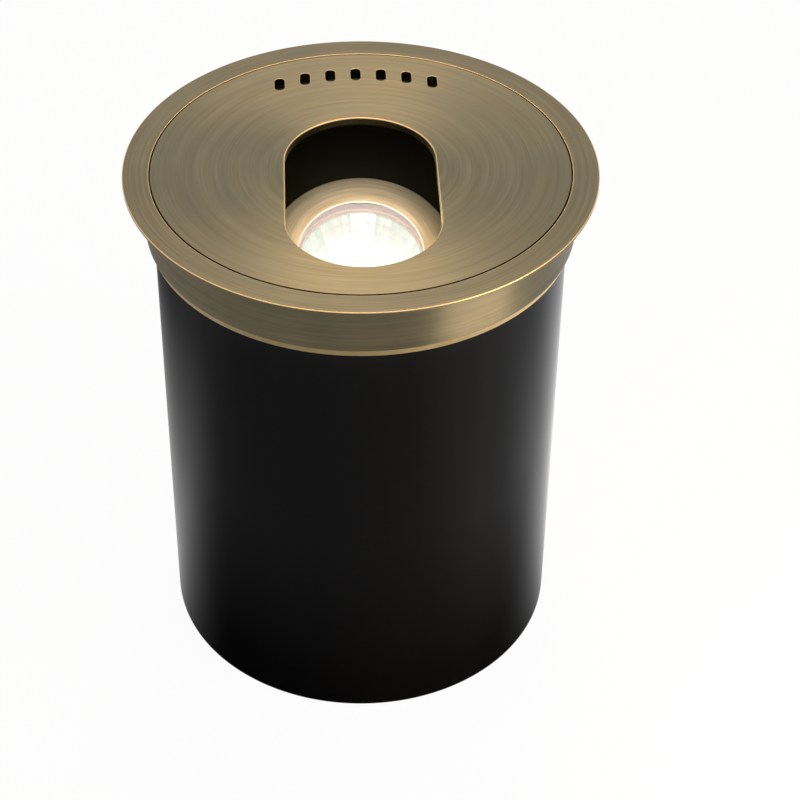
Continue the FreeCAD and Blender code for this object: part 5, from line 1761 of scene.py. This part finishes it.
@dataclass
class LampHead(Assembly):
    """The tilting cup with the lamp, its socket and the gland. Heights are along the lamp's axis.

    Attributes:
        rim: height of the reflector's rim.
        rim_radius: its radius.
        bowl_front: radius of the bowl at the rim.
        bowl_floor: height of the bowl's throat.
        throat: its radius.
        curve: radius of the bowl's curve.
        foot: inner and outer radius of the shell's foot, and how far it reaches below the bowl.
        shell_back: the shell's outer curve, from the foot up.
        shell_front: its curve behind the facets, from the rim down.
        columns: facets round the bowl.
        rows: facets from throat to rim.
        envelope: outline of the capsule.
        coil: the filament's coil: radius, length and place of its foot.
        wire: radius of its wire.
        ears: distance of the socket's screws from the axis.
        ear_screw_top: height of their heads.
        ear_screw: one of them.
        gland_core: outline of the gland's cap without its ribs.
        gland_ribs: the ribs.
        beam: the lamp's power in watts, and its beam's angle.
        source: how far behind the pivot the beam starts.
        spill: power of the light that the mirror lets through, and where it starts in the well.
    """

    rim: float = 11.0
    rim_radius: float = 25.3
    bowl_front: float = 23.6
    bowl_floor: float = -13.0
    throat: float = 7.0
    curve: float = 45.0
    foot: tuple[float, float, float] = (5.2, 8.3, 1.3)
    shell_back: tuple[Corner, ...] = (Corner(14.6, -8.0, 8.0), Corner(20.6, 1.5, 20.0))
    shell_front: tuple[Corner, ...] = (Corner(20.5, 1.7, 20.0), Corner(14.0, -7.2, 8.0))
    columns: int = 44
    rows: int = 8
    envelope: tuple[Corner, ...] = (
        Corner(0.0, -21.0),
        Corner(3.2, -21.0, 0.3),
        Corner(3.2, -13.4, 0.4),
        Corner(4.5, -12.0, 0.8),
        Corner(4.5, -1.6, 2.6),
        Corner(2.6, 1.9, 2.0),
        Corner(0.0, 2.5),
    )
    coil: tuple[float, float, float] = (0.75, 5.0, -8.5)
    wire: float = 0.14
    ears: float = 16.0
    ear_screw_top: float = -32.0
    ear_screw: Screw = Screw(length=7.5, pan=2.0)
    gland_core: tuple[Corner, ...] = (
        Corner(3.5, -59.0, 0.2),
        Corner(5.4, -59.0, 0.6),
        Corner(7.5, -56.4, 0.8),
        Corner(7.5, -50.3, 0.3),
        Corner(6.05, -50.3),
        Corner(6.05, -56.6),
        Corner(3.5, -56.6),
    )
    gland_ribs: Ribs = Ribs(count=16, root=7.3, crest=8.0, length=5.2, middle=-53.1, width=1.4)
    beam: tuple[float, float] = (1.5, 80.0)
    source: float = 3.0
    spill: tuple[float, tuple[float, float, float]] = (0.16, (0.0, 46.0, 135.0))
    nodes = {
        "lamp_cup": CUP_METAL,
        "pivot_stud_left": STEEL,
        "pivot_stud_right": STEEL,
        "friction_washer_left": ACETAL,
        "friction_washer_right": ACETAL,
        "lamp_retainer": SILICONE,
        "lamp_base": CERAMIC,
        "lamp_pins": STEEL,
        "socket": CERAMIC,
        "standoffs": STEEL,
        "socket_leads": LEAD_COVER,
        "gland_body": NYLON,
        "gland_seal": RUBBER,
        "gland_locknut": NYLON,
    }
    body = Body.HEAD
    axis = LAMP_AXIS

    def build(self) -> None:
        """Make the reflector, capsule, filament, socket screws, gland cap and light."""
        self.make_reflector()
        self.make_capsule()
        self.make_filament()
        self.make_socket_screws()
        self.make_gland_cap()
        self.make_light()

    def make_reflector(self) -> None:
        """Glass shell with a bowl of flat facets inside it."""
        inner, outer, reach = self.foot
        shell = [
            Corner(inner, self.bowl_floor - reach),
            Corner(outer, self.bowl_floor - reach),
            *self.shell_back,
            Corner(24.3, self.rim - 2.0),
            Corner(self.rim_radius, self.rim - 2.0, 0.2),
            Corner(self.rim_radius, self.rim, 0.35),
            Corner(self.bowl_front, self.rim, 0.2),
            Corner(self.bowl_front - 0.05, self.rim - 0.25),
            *self.shell_front,
            Corner(self.throat + 0.1, self.bowl_floor - 0.1),
            Corner(inner, self.bowl_floor - 0.1),
        ]
        back = turned("reflector_shell", shell, 144, 6)
        recipe = Recipe("reflector_bowl")
        dressed = [recipe.paint(recipe.base, RIM_GLASS), recipe.paint(self.bowl(recipe), MIRROR)]
        mesh = recipe.grow(add(recipe.tree, JOIN, [dressed]), back)
        self.put("lamp_reflector_faceted", mesh, "reflector", ["lamp_reflector"])

    def bowl(self, recipe: Recipe) -> bpy.types.Node:
        """Bend a grid to the mirror's facets, each with a chance value of its own.

        Args:
            recipe: the reflector's tree.

        Returns:
            The facets. Those of one column are more alike than those of different columns.
        """
        tree = recipe.tree
        chord = Vector((self.bowl_front - self.throat, self.rim - self.bowl_floor))
        middle = Vector((self.bowl_front + self.throat, self.rim + self.bowl_floor)) / 2
        away = math.sqrt(self.curve**2 - (chord.length / 2) ** 2)
        centre = middle + away * Vector((-chord.y, chord.x)).normalized()
        low = math.atan2(self.bowl_floor - centre.y, self.throat - centre.x)
        high = math.atan2(self.rim - centre.y, self.bowl_front - centre.x)
        columns = recipe.size("Columns", self.columns + 1)
        rows = recipe.size("Rows", self.rows + 1)
        radius = recipe.size("Profile radius", self.curve)
        grid = add(tree, "GeometryNodeMeshGrid", [2 * math.pi, high - low, columns, rows])
        parts = add(tree, SEPARATE, [add(tree, "GeometryNodeInputPosition")]).outputs
        slope = add(tree, MATH, [parts["Y"], (high + low) / 2], operation="ADD")
        outward, upward = (add(tree, MATH, [slope], operation=way) for way in ("COSINE", "SINE"))
        reach = add(tree, MATH, [outward, radius, centre.x], operation="MULTIPLY_ADD")
        rise = add(tree, MATH, [upward, radius, centre.y], operation="MULTIPLY_ADD")
        east, north = (add(tree, MATH, [parts["X"]], operation=way) for way in ("COSINE", "SINE"))
        along = add(tree, MATH, [east, reach], operation="MULTIPLY")
        aside = add(tree, MATH, [north, reach], operation="MULTIPLY")
        spot = add(tree, COMBINE, [along, aside, rise])
        bent = add(tree, "GeometryNodeSetPosition", {"Geometry": grid, "Position": spot})
        closed = add(tree, "GeometryNodeMergeByDistance", {"Geometry": bent, "Distance": 1e-3})
        index = add(tree, "GeometryNodeInputIndex")
        share = add(tree, MATH, [index, float(self.rows)], operation="DIVIDE")
        column = add(tree, MATH, [share], operation="FLOOR")
        flute, single = (
            add(tree, "FunctionNodeRandomValue", {"ID": number, "Seed": seed}, data_type="FLOAT")
            for number, seed in ((column, 5), (index, 8))
        )
        own = add(tree, MATH, [single, 0.3], operation="MULTIPLY")
        chance = add(tree, MATH, [flute, 0.7, own], operation="MULTIPLY_ADD")
        note = {"Geometry": closed, "Name": "facet", "Value": chance}
        store = {"data_type": "FLOAT", "domain": "FACE"}
        return add(tree, "GeometryNodeStoreNamedAttribute", note, **store)

    def make_capsule(self) -> None:
        """Quartz envelope, pinched at its foot."""
        mesh = turned("capsule_envelope", self.envelope, 48, 5, [QUARTZ])
        self.put("lamp_capsule_quartz", mesh, "capsule_glass", ["lamp_capsule"])

    def make_filament(self) -> None:
        """Coiled wire in the capsule."""
        recipe = Recipe("filament_coil")
        tree = recipe.tree
        radius, length, foot = self.coil
        turns = {
            "Resolution": recipe.size("Steps in a turn", 14),
            "Rotations": recipe.size("Turns", 11.0),
            "Start Radius": recipe.size("Coil radius", radius),
            "End Radius": recipe.size("Coil end radius", radius),
            "Height": recipe.size("Coil length", length),
        }
        line = add(tree, "GeometryNodeCurveSpiral", turns)
        around = [6, recipe.size("Wire radius", self.wire)]
        wire = add(tree, "GeometryNodeCurvePrimitiveCircle", around, mode="RADIUS")
        sweep = {"Curve": line, "Profile Curve": wire, "Fill Caps": True}
        coil = add(tree, "GeometryNodeCurveToMesh", sweep)
        lifted = add(tree, MOVE, {"Geometry": coil, "Translation": (0.0, 0.0, foot)})
        mesh = recipe.grow(recipe.paint(lifted, FILAMENT))
        self.put("lamp_filament", mesh, "capsule_glass")

    def make_socket_screws(self) -> None:
        """Two pan-head screws through the socket's ears."""
        recipe = Recipe("socket_screw_pair")
        pair = recipe.ring_of(recipe.base, "Screw", 2, self.ears)
        screw = self.ear_screw.mesh(self.ear_screw_top)
        mesh = recipe.grow(recipe.paint(pair, STEEL), screw)
        self.put("socket_screw_set", mesh, "steel", ["socket_screws"])

    def make_gland_cap(self) -> None:
        """Ribbed cap that squeezes the gland on its cable."""
        core = turned("gland_cap_core", self.gland_core, 64)
        mesh = self.gland_ribs.round_off("gland_cap_ribbed", core, NYLON)
        self.put("gland_cap_ribbed", mesh, "gland_plastic", ["gland_cap"])

    def make_light(self) -> None:
        """The lamp's beam, and what its mirror lets through to the inside of the well."""
        beam = bpy.data.lights.new("lamp_beam", "SPOT")
        beam.energy, angle = self.beam
        beam.spot_size = math.radians(angle)
        beam.spot_blend = 0.3
        start = LAMP_AXIS.centre - LAMP_AXIS.direction * self.source * MM
        source = self.light_up(beam, start, self.body)
        source.rotation_mode = "QUATERNION"
        source.rotation_quaternion = LAMP_AXIS.direction.to_track_quat("-Z", "Y")
        spill = bpy.data.lights.new("mirror_spill", "POINT")
        spill.energy, place = self.spill
        inside = self.light_up(spill, Vector(place) * MM, Body.CARRIER)
        inside.visible_glossy = False

    def light_up(self, light: bpy.types.Light, place: Vector, body: Body) -> bpy.types.Object:
        """Hang a small warm light on a body.

        Args:
            light: the light.
            place: where it hangs, in metres.
            body: the body it rides on.

        Returns:
            The light's object.
        """
        light.color = linear("#FFEAB4")[:3]
        light.shadow_soft_size = 4.0 * MM
        source = show(light.name, light)
        source.location = place
        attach(source, body.value)
        return source


@dataclass
class LensPack(Assembly):
    """The glass that closes the cup, and its gasket.

    Attributes:
        edge: radius of the glass.
        under: height of its underside along the lamp's axis.
        top: height of its top.
    """

    edge: float = 32.2
    under: float = 13.5
    top: float = 16.5
    nodes = {"lens_gasket": RUBBER}
    body = Body.LENS_PACK
    axis = LAMP_AXIS

    def build(self) -> None:
        """Make the glass, ground round its edge."""
        profile = [
            Corner(0.0, self.under),
            Corner(self.edge, self.under, 0.4),
            Corner(self.edge, self.top, 0.4),
            Corner(0.0, self.top),
        ]
        mesh = turned("lens_glass_disc", profile, 128, finishes=[LENS_GLASS])
        self.even(self.put("lens_glass_disc", mesh, "lens_glass", ["lens"]))


@dataclass
class Bezel(Assembly):
    """The threaded ring that clamps the glass. Heights are along the lamp's axis.

    Attributes:
        aperture: radius of the hole that the lamp looks through.
        undercut: how much wider the hole is underneath.
        bore: radius of the thread's crests.
        thread: depth and pitch of the thread.
        runout: how far it stays away from the face's underside and from the skirt's end.
        edge: outer radius.
        face: height of the face.
        face_under: underside of the face, which lies on the glass.
        skirt_end: lower end of the skirt.
    """

    aperture: float = 23.94
    undercut: float = 1.7
    bore: float = 33.5
    thread: tuple[float, float] = (0.35, 1.0)
    runout: tuple[float, float] = (0.6, 1.2)
    edge: float = 35.7
    face: float = 19.0
    face_under: float = 16.5
    skirt_end: float = 9.5
    body = Body.BEZEL
    axis = LAMP_AXIS

    def build(self) -> None:
        """Make the ring, with its thread inside."""
        profile = [
            Corner(self.aperture + self.undercut, self.face_under, 0.15),
            Corner(self.bore, self.face_under),
        ]
        depth, pitch = self.thread
        first, last = self.runout
        height = self.face_under - first
        while height > self.skirt_end + last:
            profile.append(Corner(self.bore, height))
            profile.append(Corner(self.bore + depth, height - pitch / 2))
            height -= pitch
        profile += [
            Corner(self.bore, height),
            Corner(self.bore, self.skirt_end, 0.3),
            Corner(self.edge, self.skirt_end, 0.4),
            Corner(self.edge, self.face, 0.45),
            # Painted highlight and glow: the aperture's edge takes BEZEL_EDGE.
            Corner(self.aperture, self.face, 0.25, bright_edge=True, finish=1),
            Corner(self.aperture, self.face - 0.45, 0.05),
        ]
        mesh = turned("bezel_turned", profile, 224, finishes=[BEZEL_BRASS, BEZEL_EDGE])
        self.even(self.put("bezel_turned", mesh, "brass", ["bezel"]))


@dataclass
class TiltLocks(Assembly):
    """The two knurled thumb nuts and the washers under them.

    Attributes:
        start: distance of a nut's inner end from the middle.
        end: distance of its outer end.
        root: radius between its ribs.
        crest: radius over its ribs.
        neck: radius of its plain neck.
        neck_end: where the neck ends.
        bore: radius of its hole.
        dish: corners of its hollowed outer end: how far from the bore, how deep, and rounding.
        ribs: how many ribs.
        rib_width: their width at the root.
    """

    start: float = 42.2
    end: float = 52.2
    root: float = 7.35
    crest: float = 8.0
    neck: float = 6.2
    neck_end: float = 43.7
    bore: float = 2.8
    dish: tuple[tuple[float, ...], ...] = ((1.6, 0.0, 0.2), (1.2, 0.5, 0.1), (0.0, 0.7, 0.0))
    ribs: int = 24
    rib_width: float = 1.9
    nodes = {"knob_washer_left": LEFT_BRASS, "knob_washer_right": RIGHT_BRASS}
    body = Body.LEFT_KNOB

    def build(self) -> None:
        """Make a nut on each side."""
        sides = (
            ("left", Body.LEFT_KNOB, LEFT_AXIS, LEFT_BRASS),
            ("right", Body.RIGHT_KNOB, RIGHT_AXIS, RIGHT_BRASS),
        )
        for side, body, axis, finish in sides:
            name = f"thumb_nut_{side}"
            mesh = self.nut(name, finish)
            self.put(name, mesh, "brass", [f"tilt_knob_{side}"], body=body, axis=axis)

    def nut(self, name: str, finish: Finish) -> bpy.types.Mesh:
        """Make a nut about Z, with its plain neck lowest.

        Args:
            name: its name.
            finish: its finish.

        Returns:
            The nut in millimetres.
        """
        core = [
            Corner(self.bore, self.start, 0.2),
            Corner(self.neck, self.start, 0.25),
            Corner(self.neck, self.neck_end),
            Corner(self.root, self.neck_end, 0.2),
            Corner(self.root, self.end, 0.3),
            *(Corner(self.bore + out, self.end - down, soft) for out, down, soft in self.dish),
        ]
        ribs = Ribs(
            count=self.ribs,
            root=self.root - 0.1,
            crest=self.crest,
            length=self.end - self.neck_end,
            middle=(self.end + self.neck_end) / 2,
            width=self.rib_width,
        )
        return ribs.round_off(name, turned(f"{name}_core", core, 96), finish)


# Studio


@dataclass(frozen=True)
class Softbox:
    """A square soft light that points at the object.

    Attributes:
        name: its name.
        place: where it hangs.
        side: length of its side.
        power: its power in watts.
        colour: its colour.
        aim: height over the floor's middle that it points at.
    """

    name: str
    place: tuple[float, float, float]
    side: float
    power: float
    colour: str
    aim: float = 150.0

    def hang(self) -> None:
        """Put the light into the scene."""
        light = bpy.data.lights.new(self.name, "AREA")
        light.shape = "SQUARE"
        light.size = self.side * MM
        light.energy = self.power
        light.color = linear(self.colour)[:3]
        lamp = show(self.name, light)
        lamp.location = Vector(self.place) * MM
        lamp.rotation_mode = "QUATERNION"
        way = Vector((0.0, 0.0, self.aim)) - Vector(self.place)
        lamp.rotation_quaternion = way.to_track_quat("-Z", "Y")


@dataclass
class Studio:
    """Camera, pale floor, soft lights and white surroundings.

    Attributes:
        camera_place: where the camera stands.
        camera_way: where it looks.
        lens: its focal length on a sensor 36 mm wide.
        shift: how far its picture is shifted to frame the object.
        ambient: strength of the light from all round.
        floor_half: half the length of the floor's side.
        card_radii: inner and outer radius of the grey card.
        card_steps: flats round it.
        card_lift: how far it lies above the floor.
        softboxes: the lamps.
    """

    camera_place: tuple[float, float, float] = (-22.1, -684.4, 678.5)
    camera_way: tuple[float, float, float] = (0.0246, 0.7614, -0.6478)
    lens: float = 99.36
    shift: float = 0.0491
    ambient: float = 0.45
    floor_half: float = 4000.0
    card_radii: tuple[float, float] = (78.7, 900.0)
    card_steps: int = 96
    card_lift: float = 0.3
    softboxes: tuple[Softbox, ...] = (
        Softbox("back_softbox", (0.0, 900.0, 1700.0), 700.0, 14.0, "#FFE0C0"),
        Softbox("overhead_softbox", (0.0, 330.0, 1350.0), 450.0, 1.7, "#FFEAD2"),
        Softbox("low_softbox", (355.0, -277.0, 170.0), 300.0, 2.4, "#FFF0DC"),
        Softbox("side_softbox", (1100.0, -250.0, 420.0), 700.0, 3.0, WHITE),
    )

    def build(self) -> None:
        """Set the scene's view, camera, surroundings, floor and lamps."""
        bpy.context.scene.view_settings.view_transform = "Standard"
        self.make_camera()
        self.make_world()
        self.make_floor()
        self.make_card()
        for softbox in self.softboxes:
            softbox.hang()

    def make_camera(self) -> None:
        """Camera at the photograph's viewing angle."""
        data = bpy.data.cameras.new("camera")
        data.sensor_width = 36.0
        data.lens = self.lens
        data.shift_x = self.shift
        data.clip_start, data.clip_end = 0.05, 30.0
        camera = show("camera", data)
        camera.location = Vector(self.camera_place) * MM
        camera.rotation_mode = "QUATERNION"
        camera.rotation_quaternion = Vector(self.camera_way).to_track_quat("-Z", "Y")
        bpy.context.scene.camera = camera

    def make_world(self) -> None:
        """White to the eye, a plain soft grey for the light that it gives."""
        world = bpy.data.worlds.new("studio")
        world.use_nodes = True
        tree = world.node_tree
        tree.nodes.clear()
        strength = add(tree, RANGE, [seen(tree), 0.0, 1.0, self.ambient, 1.0])
        glow = add(tree, "ShaderNodeBackground", [linear(WHITE), strength])
        add(tree, "ShaderNodeOutputWorld", [glow])
        bpy.context.scene.world = world

    def make_floor(self) -> None:
        """Pale square floor."""
        half = self.floor_half * MM
        places = [(-half, -half, 0.0), (half, -half, 0.0), (half, half, 0.0), (-half, half, 0.0)]
        self.lay("floor", places, [(0, 1, 2, 3)], PAPER)

    def make_card(self) -> None:
        """Card of painted reflection round the sleeve, seen only in what reflects it."""
        points = []
        for number in range(self.card_steps):
            angle = 2 * math.pi * number / self.card_steps
            for radius in self.card_radii:
                reach = radius * MM
                x, y = reach * math.sin(angle), -reach * math.cos(angle)
                points.append((x, y, self.card_lift * MM))
        faces = []
        for number in range(self.card_steps):
            here, beside = 2 * number, 2 * ((number + 1) % self.card_steps)
            faces.append((here, here + 1, beside + 1, beside))
        card = self.lay("grey_card", points, faces, CARD)
        card.visible_camera = False
        card.visible_diffuse = False
        card.visible_transmission = False
        card.visible_shadow = False

    def lay(
        self, name: str, points: list[Any], faces: list[Any], finish: Finish
    ) -> bpy.types.Object:
        """Lay something flat on the stage.

        Args:
            name: its name.
            points: its corners, in metres.
            faces: its faces.
            finish: its finish.

        Returns:
            The object.
        """
        mesh = bpy.data.meshes.new(name)
        mesh.from_pydata(points, [], faces)
        mesh.materials.append(finish.material())
        item = show(name, mesh)
        return item


def main() -> None:
    """Load the frame, build every sub-assembly in order, and log each piece's faces and finishes.
    """
    logging.basicConfig(level=logging.INFO, format="%(message)s")
    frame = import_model()
    Studio().build()
    for part in (Well(), Carrier(), Lid(), LampHead(), LensPack(), Bezel(), TiltLocks()):
        part.build()
        part.dress(frame["nodes"])


if __name__ == "__main__":
    main()
